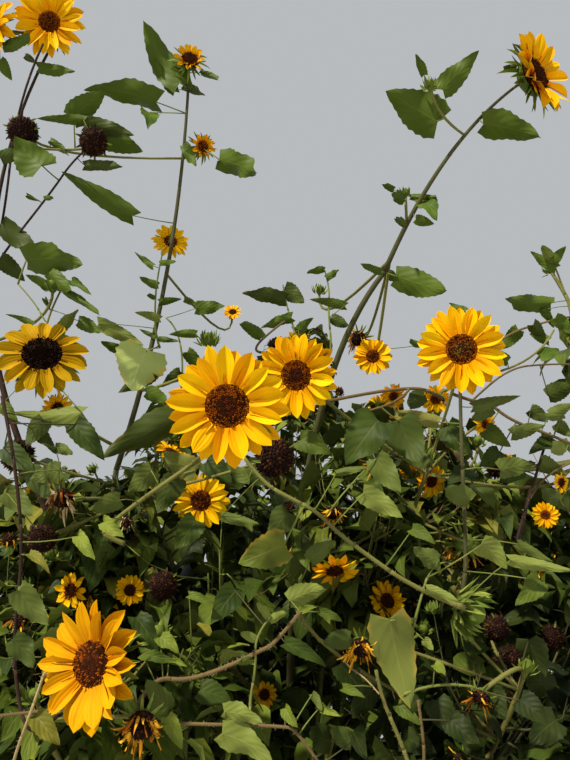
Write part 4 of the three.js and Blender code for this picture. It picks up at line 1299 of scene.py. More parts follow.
# Leaves closer in than this are dealt the inner tints, darker with painted shade.
innerPart = 0.55                      # how far out the inner leaves go
tintShares = {
    "dim": (("dusk", 0.70), ("deep", 0.94), ("mid", 0.98), ("fresh", 1)),
    "inner": (("dusk", 0.30), ("deep", 0.76), ("mid", 0.95), ("dry", 0.965), ("edged", 1)),
    "outer": (("dusk", 0.06), ("deep", 0.34), ("mid", 0.70), ("fresh", 0.86), ("olive", 0.93), ("edged", 0.988),
              ("dry", 1)),
}


# Whether a place lies in the part that is given painted shade.
def inPaintedShadePart(spot, foot=math.inf):
    across, down = pixelOf(spot)
    left, right = paintedShadePart["across"]
    return spot.y < crown["centre"][1] and left < across < right and paintedShadePart["top"] < down < foot


def sprayTint(random, spot):
    roll, part = random(), "inner" if outness(spot) < innerPart else "outer"
    if roll > paintedShadePart["roll"] and inPaintedShadePart(spot, paintedShadePart["foot"]):
        part = "dim"
    return chosen(roll, tintShares[part])


# A twig deep in the crown, or in the part in deep shade, takes the shade bark: painted shade.
def twigTint(spot, plain):
    return "shade" if inPaintedShadePart(spot) or outness(spot) < innerPart else plain


tints = seeded(77)
leafSizes = {                         # size beside the source's leaf, how far it droops and how fine it is
    "line": {"size": 0.74, "droop": (0.25, 0.8), "cut": "large"},
    "twig": {"size": 0.62, "droop": (0.10, 0.75), "cut": "large"},
    "side": {"size": 0.47, "droop": (-0.15, 0.65), "cut": "small"},
}
leafHang = {
    "tilt": (-0.5, 0.5), "slim": (0.64, 1.10), "flatten": 0.5, "wide": 1.25, "sameTint": 0.7, "spare": 0.2,
}


def growLeaves(mass, host, shares, count, random, kind, within=fits):
    look = leafSizes[kind]
    tint = sprayTint(tints, host.end)
    for k in range(count):
        place = Place(host, shares[0] + (shares[1] - shares[0]) * k / max(count - 1, 1))
        wished = leaf["length"] * random(*growth["leafSize"]) * look["size"]
        tilt = random(*leafHang["tilt"])
        droop, pick, slim = tints(*look["droop"]), tints(), tints(*leafHang["slim"])
        for shorter, turned in growth["tries"]:
            way = place.away(k * 2 + mass.seed + turned) + place.along * growth["leafLift"]
            way.z = way.z * leafHang["flatten"] - droop
            way.normalize()
            length = wished * shorter
            tip, middle = place.spot + way * length, place.spot + way * length * 0.6
            blocked = not within(mass, (middle, tip)) or inOpenAir((middle, tip), length * leafHang["spare"])
            if blocked or overCrown(tip, middle):
                continue
            own = tint if tints() < leafHang["sameTint"] else sprayTint(tints, tip)
            width = length * (1 - stalk["share"]) * slim * leaf["width"] / leaf["length"] * leafHang["wide"]
            addLeaf(mass, place.spot, tip, width, tilt, own, pick, look["cut"])
            break


# Heads
headLooks = {
    "large": {"rays": 26, "length": 0.70, "width": 0.27, "lift": (-0.12, 0.16), "disc": 0.42, "rise": 0.09,
              "florets": 480, "bracts": 24, "bract": (0.44, 0.13), "spread": 0.2, "cup": 0.26},
    "open": {"rays": 20, "length": 0.68, "width": 0.30, "lift": (-0.12, 0.20), "disc": 0.40, "rise": 0.10,
             "florets": 170, "bracts": 16, "bract": (0.46, 0.15), "spread": 0.2, "cup": 0.28},
    "opening": {"rays": 16, "length": 0.52, "width": 0.24, "lift": (0.35, 0.95), "disc": 0.44, "rise": 0.10,
                "florets": 150, "bracts": 20, "bract": (0.62, 0.17), "spread": 0.3, "cup": 0.4},
    "withered": {"rays": 0, "length": 1.0, "disc": 0.50, "rise": 0.5,
                 "florets": 140, "bracts": 16, "bract": (0.62, 0.18), "spread": 0.35, "cup": 0.4},
    "seed": {"rays": 0, "disc": 0.80, "rise": 0.62,
             "florets": 260, "bracts": 18, "bract": (0.40, 0.17), "spread": 0.75, "cup": 0.45},
    "bud": {"rays": 0, "disc": 0.42, "bracts": 30, "bract": (0.95, 0.36), "cup": 0.6},
}
coarseShares = {"rays": 0.76, "florets": 0.28, "bracts": 0.5}      # what a small head keeps of its counts
# The disc's width, its florets in rings from the middle out, the rays' tint and how far they lean forward.
blackRings = (("dark", "dark", "dark"),) * 3
darkRings = (("dark", "dark", "dark"), ("dark", "dark", "wine"), ("dark", "rust", "dark"))
headStyles = {
    "rust": (1.0, (("dark", "wine", "dark"), ("rust", "dark", "rust"), ("gold", "rust", "rust")), None, 0),
    "lit": (1.0, (("dark", "wine", "dark"), ("rust", "rust", "dark"), ("gold", "gold", "rust")), None, 0),
    # its rays take the deeper orange, partly painted shade
    "cupped": (1.0, (("dark", "dark", "wine"), ("rust", "dark", "dark"), ("rust", "rust", "dark")),
               "warm", 0.24),
    # painted light: all its rays take the lightest yellow
    "bright": (1.0, (("dark", "rust", "dark"), ("rust", "wine", "dark"), ("rust", "rust", "wine")), "lemon", 0),
    "flung": (1.08, darkRings, None, 0.3),
    "green": (0.94, (("dark", "green", "wine"), ("rust", "dark", "rust"), ("gold", "gold", "rust")), None, 0),
    "slim": (0.84, (("dark", "dark", "rust"), ("rust", "dark", "rust"), ("gold", "rust", "rust")), None, 0.1),
    "bleached": (1.0, blackRings, None, 0),
    # painted shade: a head in shadow, with black florets and dull rays
    "shade": (1.15, (("huskBlack", "huskBlack", "huskBlack"), ("huskBlack", "huskDark", "huskBlack"),
                     ("huskBlack", "dark", "huskDark")), "dull", -0.32),
    "amber": (1.0, (("dark", "rust", "dark"), ("rust", "rust", "dark"), ("rust", "gold", "rust")), "amber", 0),
    "dark": (1.08, darkRings, None, 0),
    "wine": (1.06, (("dark", "wine", "dark"), ("wine", "wine", "dark"), ("wine", "rust", "wine")), None, 0),
    "fresh": (1.0, blackRings, None, 0),
}
golden = math.pi * (3 - math.sqrt(5))


def facing(turn, tilt):
    turn, tilt = math.radians(turn), math.radians(tilt)
    return Vector((math.sin(turn) * math.cos(tilt), -math.cos(turn) * math.cos(tilt), math.sin(tilt)))


# What the parts of one head share. The cup's depth and width come first, as the bracts stand on it.
cupSize = {"deep": 0.62, "wide": 1.02, "least": 0.30, "back": 0.05}


class Head:
    def __init__(self, kind, at, across, front, style, random, detail):
        self.kind, self.at, self.front, self.style = kind, at, front, style
        self.random, self.detail, self.look = random, detail, headLooks[kind]
        discShare, self.rings, self.rayTint, self.forward = headStyles[style]
        self.half = across / 2
        side = up.cross(front)
        self.side = side.normalized() if side.length > 0.05 else Vector((1, 0, 0))
        self.above = front.cross(self.side)
        self.discWide = self.look["disc"] * self.half * (discShare if self.look["rays"] else 1)
        self.cupDeep = self.look["cup"] * across * cupSize["deep"]
        self.cupWide = max(self.discWide * cupSize["wide"], self.half * cupSize["least"])
        self.rim = at - front * self.half * cupSize["back"]

    def count(self, part):
        return int(self.look[part] * (1 if self.detail == "fine" else coarseShares[part]))

    def outward(self, turn):
        return around(self.side, self.above, turn)

    def anyOf(self, shapes):
        shapes = shapes[self.detail]
        return shapes[int(self.random() * len(shapes)) % len(shapes)]


# Rays stand in two whorls, the inner one on top.
rayPlace = {
    "sway": 0.22, "lift": (-0.10, 0.12), "foot": 0.84, "fullLength": 0.70, "length": (0.90, 1.06),
    "inner": 0.95, "width": (0.88, 1.14), "rise": 0.02,
    "tints": (("gold", 0.58), ("amber", 0.78), ("lemon", 1)),
}


def addRays(head):
    half, front, look, random = head.half, head.front, head.look, head.random
    count = head.count("rays")
    for j in range(count):
        inner = j % 2
        out = head.outward((j + random(-rayPlace["sway"], rayPlace["sway"])) / count * 2 * math.pi)
        lift = look["lift"][inner] + random(*rayPlace["lift"]) + head.forward
        way = out * math.cos(lift) + front * math.sin(lift)
        normal = front * math.cos(lift) - out * math.sin(lift)
        length = half * (1 - head.discWide / half * rayPlace["foot"]) * look["length"] / rayPlace["fullLength"]
        length *= random(*rayPlace["length"]) * (rayPlace["inner"] if inner else 1)
        width = half * look["width"] * random(*rayPlace["width"])
        root = head.at + out * head.discWide * rayPlace["foot"] + front * half * rayPlace["rise"] * (1 + inner)
        tint = chosen(random(), rayPlace["tints"])
        rayHeap.add(head.anyOf(rayShapes), root, way.cross(normal) * width, way * length, normal * length,
                    rayTint[head.rayTint or tint])


driedRays = {
    "count": {"fine": 44, "coarse": 14}, "out": (0.3, 0.9), "front": (0.1, 0.7), "hang": (0.4, 1.5),
    "length": (0.5, 1.15), "foot": (0.75, 0.95), "rise": (0, 0.4), "rust": 0.72, "wide": 0.52, "deep": 0.7,
}


def addDriedRays(head):
    half, front, random = head.half, head.front, head.random
    for j in range(driedRays["count"][head.detail]):
        out = head.outward(random(0, 2 * math.pi))
        way = out * random(*driedRays["out"]) + front * random(*driedRays["front"])
        way = (way - up * random(*driedRays["hang"])).normalized()
        cross = way.cross(front).normalized()
        length = half * head.look["length"] * random(*driedRays["length"])
        root = head.at + out * head.discWide * random(*driedRays["foot"])
        root = root + front * half * random(*driedRays["rise"])
        plain = "strawPale" if head.style == "bleached" else "straw"
        tint = discTint["strawRust" if random() > driedRays["rust"] else plain]
        discHeap.add(head.anyOf(ribbonShapes), root, cross * half * driedRays["wide"], way * length,
                     cross.cross(way) * length * driedRays["deep"], tint)


bractPlace = {
    "sway": 0.25, "lean": (0.4, 1.5), "innerLean": 0.35, "length": (0.8, 1.2), "width": (0.85, 1.2),
    "coarse": 1.35, "outer": {"back": 0.30, "out": 0.86}, "inner": {"back": 0.08, "out": 0.97},
    "pale": 0.3, "freshPale": 0.5, "brown": 0.62,
}


# Three tiers of bracts close over a bud. The first line is what the lowest tier has and what the top one adds.
budTiers = {
    "lean": (0.62, 0.38), "back": (0.55, -0.25), "out": (0.52, -0.06), "ahead": (0.5, 0.35),
    "sway": (-0.06, 0.06), "close": 1.35, "wide": 0.55, "spread": (0.5, 1.0),
}


# Where a bract of a bud starts, the way it goes and the way its upper side faces.
def budBract(head, j, out):
    half, front, random = head.half, head.front, head.random
    tier = (j % 3) / 2
    tiered = (budTiers[key] for key in ("lean", "back", "out", "ahead"))
    lean, back, aside, ahead = (lowest + more * tier for lowest, more in tiered)
    lean = (lean + random(*budTiers["sway"])) * budTiers["close"]
    start = head.at - front * half * back + out * half * aside
    way = (front * math.sin(lean) + out * math.cos(lean) * budTiers["wide"]).normalized()
    if tier == 0 or head.style == "fresh":
        way = (front * ahead + out * random(*budTiers["spread"])).normalized()
    return start, way, (out - way * out.dot(way)).normalized()


# The same for the other heads: the outer bracts spread and the inner ones stand at the rim.
def cupBract(head, j, out):
    whorl = bractPlace["outer" if j % 2 else "inner"]
    lean = -head.look["spread"] * head.random(*bractPlace["lean"]) * (1 if j % 2 else bractPlace["innerLean"])
    start = head.rim - head.front * head.cupDeep * whorl["back"] + out * head.cupWide * whorl["out"]
    way = (out * math.cos(lean) + head.front * math.sin(lean)).normalized()
    return start, way, (head.front - way * head.front.dot(way)).normalized()


def addBracts(head):
    random, fresh, brown = head.random, head.style == "fresh", head.kind == "seed"
    count = head.count("bracts") * (2 if fresh else 1)
    long, wide = head.look["bract"]
    for j in range(count):
        out = head.outward((j + random(-bractPlace["sway"], bractPlace["sway"])) / count * 2 * math.pi)
        start, way, normal = (budBract if head.kind == "bud" else cupBract)(head, j, out)
        length = head.half * long * random(*bractPlace["length"])
        width = head.half * wide * random(*bractPlace["width"])
        width *= 1 if head.detail == "fine" else bractPlace["coarse"]
        pale = random() < bractPlace["freshPale" if fresh else "pale"]
        tint = "brown" if brown and random() < bractPlace["brown"] else "pale" if pale else "green"
        greenHeap.add(head.anyOf(bractShapes), start, way.cross(normal) * width, way * length, normal * length,
                      greenTint[tint])


# The disc: its florets turn by the golden angle, and stand over a dome.
discForm = {
    "sunk": {"seed": 0.30, "other": 0.02}, "dome": 0.95, "domeDeep": 0.92,
    "polar": {"seed": 1.95, "withered": 1.5}, "dryWide": 1.7, "dryThick": (0.7, 1.2), "dryTall": (1.1, 2.6),
    "dryDark": 0.76, "foot": (0.94, 0.99), "curve": 2.2, "deep": 0.9, "lean": 0.55, "wide": 1.20,
    "thick": (0.75, 1.1), "ringEnds": ((0, 0.42), (1, 0.74), (2, 1)), "tall": (1.2, 1.7, 2.5),
    "tallness": (0.7, 1.35), "tints": 2.99,
}


def addDisc(head):
    half, front, look, random, discWide = head.half, head.front, head.look, head.random, head.discWide
    dry = head.kind in ("seed", "withered")
    sunk = half * discForm["sunk"]["seed" if head.kind == "seed" else "other"]
    deep = look["rise"] * half + sunk
    lowered = head.at - front * sunk
    domeWide = discWide * discForm["dome"]
    # painted shade: a head in shadow gets a black dome
    domeTint = discTint["huskBlack" if head.style == "shade" else "huskDark" if dry else "dark"]
    discHeap.add(domes[head.detail], lowered, head.side * domeWide, head.above * domeWide,
                 front * deep * discForm["domeDeep"], domeTint)
    count = head.count("florets")
    for k in range(count):
        share = math.sqrt((k + 0.5) / count)
        out = head.outward(k * golden)
        if dry:
            polar = share * discForm["polar"][head.kind]
            rise = deep * math.cos(polar) * discForm["domeDeep"]
            spot = lowered + out * domeWide * math.sin(polar) + front * rise
            normal = (front * math.cos(polar) + out * math.sin(polar)).normalized()
            wide = discWide * discForm["dryWide"] / math.sqrt(count) * random(*discForm["dryThick"])
            tall = wide * random(*discForm["dryTall"])
            tint = "huskDark" if random() < discForm["dryDark"] else "huskBrown"
        else:
            rise = look["rise"] * half * (1 - share ** discForm["curve"]) * discForm["deep"]
            spot = head.at + out * discWide * share * random(*discForm["foot"]) + front * rise
            normal = (front + out * share * discForm["lean"]).normalized()
            wide = discWide * discForm["wide"] / math.sqrt(count) * random(*discForm["thick"])
            ring = next(ring for ring, end in discForm["ringEnds"] if share < end)
            tall = wide * discForm["tall"][ring] * random(*discForm["tallness"])
            tint = head.rings[ring][int(random() * discForm["tints"])]
        first = normal.cross(Vector((0.3, 0.5, 0.8))).normalized()
        discHeap.add(floretShape, spot, first * wide, normal.cross(first) * wide, normal * tall, discTint[tint])


budDome = {"back": 0.1, "wide": 0.5, "deep": 0.62}


def addBudDome(head):
    wide = head.half * budDome["wide"]
    greenHeap.add(domes[head.detail], head.at - head.front * head.half * budDome["back"], head.side * wide,
                  head.above * wide, head.front * head.half * budDome["deep"], greenTint["green"])


def buildHead(kind, at, across, front, style, seed, detail="fine"):
    head = Head(kind, at, across, front, style, seeded(seed), detail)
    greenHeap.add(cups[detail], head.rim, head.side * head.cupWide, head.above * head.cupWide,
                  front * head.cupDeep, greenTint["brown" if kind == "seed" else "green"])
    addRays(head)
    if kind == "withered":
        addDriedRays(head)
    addBracts(head)
    if kind == "bud":
        addBudDome(head)
    else:
        addDisc(head)


# A head's stalk leaves the stem of its mass from below, or goes on from the stem's tip where that is near.
headStalk = {
    "cup": 0.42, "least": 50, "most": 150, "share": 0.5, "ahead": 0.6, "drop": 0.3, "near": 90, "tipBend": 0.4,
    "from": (0.05, 0.2, 0.35, 0.5, 0.65, 0.8, 0.95), "wide": 1.25, "wideOver": 100, "fineOver": 38,
    "tipFrom": 0.98,
}


def addHead(mass, entry, seed):
    kind, at, across, faces, style = entry[:5]
    at, front = Vector(at), facing(*faces)
    back = at - front * headLooks[kind]["cup"] * across * headStalk["cup"]
    length = min(headStalk["most"], max(headStalk["least"], distanceTo(mass, back) * headStalk["share"]))
    neck = back - front * length * headStalk["ahead"] - up * length * headStalk["drop"]
    places = [Place(mass.limb, share) for share in headStalk["from"]]
    start = min(places, key=lambda place: (place.spot - neck).length)
    thick = twig["neckRadius"] * (headStalk["wide"] if across > headStalk["wideOver"] else 1)
    limb = Limb(start.spot, neck, back, start.wide * twig["rootShare"], thick, twig["sides"], twig["steps"])
    if (mass.top - back).length < headStalk["near"]:
        ahead = mass.limb.tangent(1) * (mass.top - back).length
        start, bend = mass.limb.point(headStalk["tipFrom"]), mass.top + ahead * headStalk["tipBend"]
        limb = Limb(start, bend, back, mass.limb.tip, max(thick, mass.limb.tip), twig["sides"], twig["steps"])
    addLimb(regionOf(mass), "stalk", limb, "green")
    hairyLines.append((limb, hairiness["stalk"]))
    carriers.append((mass.name, limb))
    buildHead(kind, at, across, front, style, seed, "fine" if across > headStalk["fineOver"] else "coarse")


# Growth, by the source's rule and then on to finer twigs
finer = {
    "moreTwigs": 12, "twigLeaves": 5, "sideTwigs": 5, "lineSides": 8, "boughSides": 9,
    "lineFrom": 0.12, "boughFrom": 0.35, "stemFrom": 0.45, "stemParts": 5, "stemSides": 11, "stemRadius": 5,
    "uplift": 0.5, "taper": (1.5, 0.55),
    "tall": {"moreTwigs": 6, "sideTwigs": 3, "lineSides": 6},
    "ends": (("bud", 0.14), ("seed", 0.18), ("withered", 0.22), ("open", 0.25), (None, 1)),
    "endSize": {"bud": (14, 26), "seed": (26, 40), "withered": (32, 44), "open": (38, 60)},
    "crownHeads": {"share": 0.24, "size": (68, 110), "outness": 0.74, "front": -330},
    "topHeads": {"shoot_back_left": 104, "shoot_back_right": 92, "crown_top": 98}, "topAhead": 0.1,
    "tipBud": {"across": 28, "ahead": 9, "leaves": 4, "shares": (0.93, 0.99)},
    "styles": ("rust", "dark", "green", "wine"), "fineOver": 70,
}


# The kind and size of the head at the end of a twig, or no kind.
def endHead(mass, i, end, across, random, source, bearsHead):
    if bearsHead:
        kind = growth["kinds"][(i + mass.seed) % len(growth["kinds"])]
        return kind, across * growth["kindScale"][kind]
    if source:
        return None, across
    extra = finer["crownHeads"]
    roll, across = random(), random(*extra["size"])
    room = ((np.array(end) - across * 0.5 > reachLow) & (np.array(end) + across * 0.5 < reachHigh)).all()
    shows = roll < extra["share"] and outness(end) > extra["outness"] and end.y > extra["front"] and room
    return "open" if shows else None, across


twigForm = {
    "from": 0.12, "over": 0.84, "jitter": (0.1, 0.9), "bend": 0.55, "air": 20, "sidesFrom": 0.3,
    "headLevel": 0.3, "headLift": 0.12, "headAhead": 0.45,
}


def growTwig(mass, i, count, random, source):
    place = Place(mass.limb, twigForm["from"] + twigForm["over"] * (i + random(*twigForm["jitter"])) / count)
    wished = random(*growth["twigLength"]) * (growth["tallTwigs"] if mass.tall else 1)
    if mass.tall and not source:
        longest, shortest = finer["taper"]
        wished *= longest + (shortest - longest) * i / count
    headAcross = random(*growth["headSize"])
    bearsHead = source and i % growth["headEvery"] == 1 and len(mass.heads) < 2
    uplift = growth["uplift"] if source else finer["uplift"]
    for shorter, turned in growth["tries"]:
        lean = place.away(i * 2 + mass.seed + turned) + place.along * growth["lean"]
        length = wished * shorter
        lean = lean.normalized() * length
        bend = place.spot + lean * twigForm["bend"]
        end = place.spot + lean + up * length * uplift
        if not fits(mass, [end]) or inOpenAir((end, bend), twigForm["air"]) or overCrown(end):
            continue
        host = Limb(place.spot, bend, end, place.wide * twig["rootShare"],
                    twig["neckRadius" if bearsHead else "tipRadius"], twig["sides"], twig["steps"])
        addLimb(regionOf(mass), "twig", host, twigTint(end, "fresh" if i % 3 else "red"))
        carriers.append((mass.name, host))
        mass.hosts.append((host, twigForm["sidesFrom"]))
        kind, across = endHead(mass, i, end, headAcross, random, source, bearsHead)
        if kind:
            front = host.tangent(1)
            front.z = front.z * twigForm["headLevel"] + (0 if source else twigForm["headLift"])
            front.normalize()
            at = end + front * headLooks[kind]["cup"] * across * twigForm["headAhead"]
            style = finer["styles"][(mass.seed + i) % len(finer["styles"])]
            detail = "fine" if across > finer["fineOver"] else "coarse"
            buildHead(kind, at, across, front, style, mass.seed * 31 + i, detail)
        leaves = (growth if source else finer)["twigLeaves"]
        growLeaves(mass, host, growth["twigShares"], leaves, random, "twig")
        return


sideTwig = {
    "jitter": (0.2, 0.8), "length": (0.36, 0.64), "reach": (55, 140), "lean": 0.6, "uplift": 0.35,
    "bend": 0.6, "air": 14, "foot": 0.7, "thickness": (0.9, 2.2), "tip": 0.6, "fresh": 0.7,
    "leaves": 5, "shares": (0.25, 0.98), "headLevel": 0.4, "headLift": {"bud": 0.25, "other": -0.15},
    "headAhead": 0.2,
}


def growSideTwigs(mass, host, first, count, random, within=fits):
    (shortest, longest), (thinnest, thickest) = sideTwig["reach"], sideTwig["thickness"]
    for k in range(count):
        place = Place(host, first + (1 - first) * (k + random(*sideTwig["jitter"])) / count)
        length = min(max((host.end - host.start).length * random(*sideTwig["length"]), shortest), longest)
        roll, pick = random(), random()
        for shorter, turned in growth["tries"]:
            lean = place.away(k * 2 + turned) + place.along * sideTwig["lean"]
            reach = lean.normalized() * length * shorter
            end = place.spot + reach + up * length * shorter * sideTwig["uplift"]
            if not within(mass, [end]) or inOpenAir([end], sideTwig["air"]) or overCrown(end):
                continue
            foot = min(max(place.wide * sideTwig["foot"], thinnest), thickest)
            side = Limb(place.spot, place.spot + reach * sideTwig["bend"], end, foot, sideTwig["tip"],
                        twig["sides"], twig["steps"])
            addLimb(regionOf(mass), "side", side, twigTint(end, "fresh" if pick < sideTwig["fresh"] else "red"))
            carriers.append((mass.name, side))
            kind = chosen(roll, finer["ends"])
            if kind:
                across = random(*finer["endSize"][kind])
                front = side.tangent(1)
                front.z = front.z * sideTwig["headLevel"]
                front.z += sideTwig["headLift"]["bud" if kind == "bud" else "other"]
                front.normalize()
                at = end + front * across * sideTwig["headAhead"]
                buildHead(kind, at, across, front, "dark", int(pick * 9999), "coarse")
            growLeaves(mass, side, sideTwig["shares"], sideTwig["leaves"], random, "side", within)
            break


stepsEach = 12                        # places looked at along a limb


# The place on the limbs, or on those of one owner, with the least gap.
def nearestPlace(gapTo, name=None):
    own = [limb for owner, limb in carriers if name in (None, owner)]
    return min((limb.point(k / stepsEach) for limb in own for k in range(stepsEach + 1)), key=gapTo)


def nearestTo(spot):
    return nearestPlace(lambda point: (point - spot).length)


def nearestToPixel(pixel, name):
    return nearestPlace(lambda point: math.dist(pixelOf(point), pixel), name)


# A curve through the middles of the lines between the points, drawn towards the points.
def growRunner(points, radii, tint, dense):
    halfway = [points[k].lerp(points[k + 1], 0.5) for k in range(1, len(points) - 2)]
    middles = [points[0], *halfway, points[-1]]
    many = len(middles) - 1
    for k in range(many):
        foot, tip = (radii[0] + (radii[1] - radii[0]) * share / many for share in (k, k + 1))
        limb = Limb(middles[k], points[k + 1], middles[k + 1], foot, tip, bough["sides"], bough["steps"])
        addLimb("tall", "stalk", limb, tint)
        carriers.append(("runner", limb))
        hairyLines.append((limb, dense))


# A leaf that the photograph shows turns its upper side to the viewer, as far as that still faces up.
shownLeaf = {
    "turn": (-0.4, 0.4), "gap": 2, "sag": (-0.06, 0.10), "thick": 0.03, "thickness": (0.7, 1.5),
    "overlap": 0.04, "foot": 1.15, "tip": 0.85,
    "ahead": (0, 12), "paleAhead": 26, "loneTip": (0.96, 1.03), "nearTip": (0.96, 1.0),
}


def hangLeaf(base, tip, width, tint, random, size="near", start=None):
    start = start or nearestTo(base)
    along = (tip - base).normalized()
    side = along.cross((eye - base).normalized()).normalized()
    side = Quaternion(along, random(*shownLeaf["turn"])) @ side
    if side.cross(along).z < 0:
        side = -side
    gap = (base - start).length
    if gap > shownLeaf["gap"]:
        bend = start.lerp(base, 0.5) + up * gap * random(*shownLeaf["sag"])
        thinnest, thickest = shownLeaf["thickness"]
        thick = min(max(width * shownLeaf["thick"], thinnest), thickest)
        end = base + along * width * shownLeaf["overlap"]
        # painted shade: the stalk of a shaded leaf takes the shade bark
        addLine("tall", "side", start, bend, end, thick * shownLeaf["foot"], thick * shownLeaf["tip"],
                "shade" if tint in paintedShadeTints else "fresh")
    addBlade("tall", base, tip, width, side, tint, random(), size)


openWide = {"facing": 0.47, "other": 0.36, "leaf": 0.4, "leafShares": (0.3, 0.7)}
for kind, at, across, *others in heads + smallHeads:
    keepOpen(Vector(at), across * openWide["facing" if kind in ("large", "open", "opening") else "other"])
for baseX, baseY, tipX, tipY, width, depth, tint in seenLeaves:
    for share in openWide["leafShares"]:
        middle = seen(baseX + (tipX - baseX) * share, baseY + (tipY - baseY) * share, depth)
        keepOpen(middle, width * depth / photo["focal"] * openWide["leaf"])

for mass in masses:
    addLimb(regionOf(mass), "line", mass.limb, limbTints.get(mass.name, "green"))
    hairyLines.append((mass.limb, hairiness["tall" if mass.tall else "limb"]))
    carriers.append((mass.name, mass.limb))
    if mass.bough:
        hairyLines.append((mass.bough, hairiness["bough"]))
        carriers.append((mass.name, mass.bough))
for number, entry in enumerate(heads + smallHeads):
    owners = [mass for mass in masses if mass.name in entry[5:]]
    mass = owners[0] if owners else nearestMass(Vector(entry[1]))
    if number < len(heads):
        mass.heads.append(entry)
    addHead(mass, entry, 900 + number)
for mass in masses:
    growLeaves(mass, mass.limb, growth["lineShares"], mass.lineLeaves, seeded(mass.seed * 50), "line")
    for i in range(mass.twigs):
        growTwig(mass, i, mass.twigs, seeded(mass.seed * 50 + i + 1), True)
    counts = finer["tall"] if mass.tall else finer
    if mass.twigs:
        for i in range(counts["moreTwigs"]):
            growTwig(mass, i, counts["moreTwigs"], seeded(mass.seed * 50 + 20 + i), False)
        for i, (host, first) in enumerate(mass.hosts):
            growSideTwigs(mass, host, first, counts["sideTwigs"], seeded(mass.seed * 170 + i))
        random = seeded(mass.seed * 170 + 99)
        growSideTwigs(mass, mass.limb, finer["lineFrom"], counts["lineSides"], random)
        if mass.bough:
            random = seeded(mass.seed * 170 + 98)
            growSideTwigs(mass, mass.bough, finer["boughFrom"], finer["boughSides"], random, isInside)

# heads on the tall shoots behind
for mass in masses:
    if mass.name in finer["topHeads"]:
        front = mass.limb.tangent(1) + Vector((mass.top.x, mass.top.y, 0)).normalized()
        front.normalize()
        across = finer["topHeads"][mass.name]
        buildHead("large", mass.top + front * across * finer["topAhead"], across, front, "dark", mass.seed)

# side twigs from the main stem, inside the crown
inner = masses[-1]
partLength = (1 - finer["stemFrom"]) / finer["stemParts"]
for k in range(finer["stemParts"]):
    low, high = (finer["stemFrom"] + partLength * number for number in (k, k + 1))
    part = Limb(stemPoint(low), stemPoint((low + high) / 2), stemPoint(high), finer["stemRadius"],
                finer["stemRadius"], bough["sides"], bough["steps"])
    growSideTwigs(inner, part, 0, finer["stemSides"], seeded(7000 + k), isInside)

# more twigs between the low and the middle masses, at the sides and the back
for mass in masses:
    if regionOf(mass) in between["from"]:
        for host, kind, random in ((mass.limb, "line", seeded(mass.seed * 230)),
                                   (mass.bough, "bough", seeded(mass.seed * 240))):
            growSideTwigs(mass, host, between[f"{kind}From"], between[f"{kind}Twigs"], random, isBetween)

# a bud between small leaves at the tip of each stem that has no head there
tipBud = finer["tipBud"]
for mass in masses:
    if mass.twigs and mass.name not in finer["topHeads"]:
        growLeaves(mass, mass.limb, tipBud["shares"], tipBud["leaves"], seeded(mass.seed * 210), "side")
        front = mass.limb.tangent(1)
        at = mass.top + front * tipBud["ahead"]
        buildHead("bud", at, tipBud["across"], front, "dark", mass.seed * 220, "coarse")

# what the photograph shows: stems, then leaves
runnerStart = {"bend": 0.6, "sag": 0.1}
random = seeded(2024)
for pixels, depths, radii, tint, dense, *shoot in runners:
    ahead = depthOf(nearestToPixel(pixels[0], shoot[0])) if shoot else 0
    points = [seen(*pixel, ahead + depth) for pixel, depth in zip(pixels, np.linspace(*depths, len(pixels)))]
    if not shoot:
        start = nearestTo(points[0])
        sag = up * (start - points[0]).length * runnerStart["sag"]
        points = [start, start.lerp(points[0], runnerStart["bend"]) - sag, *points]
    growRunner(points, radii, tint, dense)
for base, tip, width in loneLeaves:
    hangLeaf(Vector(base), Vector(tip), width, "clear", random)
for baseX, baseY, tipX, tipY, width, tint, *foot in seenLoneLeaves:
    aim = tuple(foot) or (baseX, baseY)
    places = [nearestToPixel(aim, name) for name in ("shoot_left", "shoot_middle", "shoot_right", "runner")]
    start = min(places, key=lambda place: math.dist(pixelOf(place), aim))
    depth = depthOf(start) - random(*shownLeaf["ahead"]) - (shownLeaf["paleAhead"] if tint == "pale" else 0)
    base, tip = seen(baseX, baseY, depth), seen(tipX, tipY, depth * random(*shownLeaf["loneTip"]))
    width *= depth / photo["focal"]
    hangLeaf(base, tip, width, "clear" if tint == "mid" else tint, random, start=start)
for baseX, baseY, tipX, tipY, width, depth, tint in seenLeaves:
    base, tip = seen(baseX, baseY, depth), seen(tipX, tipY, depth * random(*shownLeaf["nearTip"]))
    hangLeaf(base, tip, width * depth / photo["focal"], tint, random)
random = seeded(2025)
jitter = (-backLeaves["jitter"], backLeaves["jitter"])
for across in range(*backLeaves["across"], backLeaves["step"]):
    for down in range(*backLeaves["down"], backLeaves["step"]):
        depth = random(*backLeaves["depth"])
        base = seen(across + random(*jitter), down + random(*jitter), depth)
        way = Vector([random(*part) for part in backLeaves["way"]]).normalized()
        width = random(*backLeaves["width"])
        tint = chosen(random(), backLeaves["tints"])
        hangLeaf(base, base + way * width * backLeaves["long"], width, tint, random, "large")
print("grown")

# Pieces
for name in regions:
    own = [f"foliage_{mass.name}" for mass in masses if regionOf(mass) == name]
    leafHeaps[name].build("foliage", own)
    heap = Heap(f"twigs_{name}", barkMaterials)
    for kind, lines in twigLines[name].items():
        if lines:
            heap.addBent(limbShapes[kind], lines)
    heap.build("bough", own)
for heap in (rayHeap, greenHeap, discHeap):
    heap.build("foliage", [])

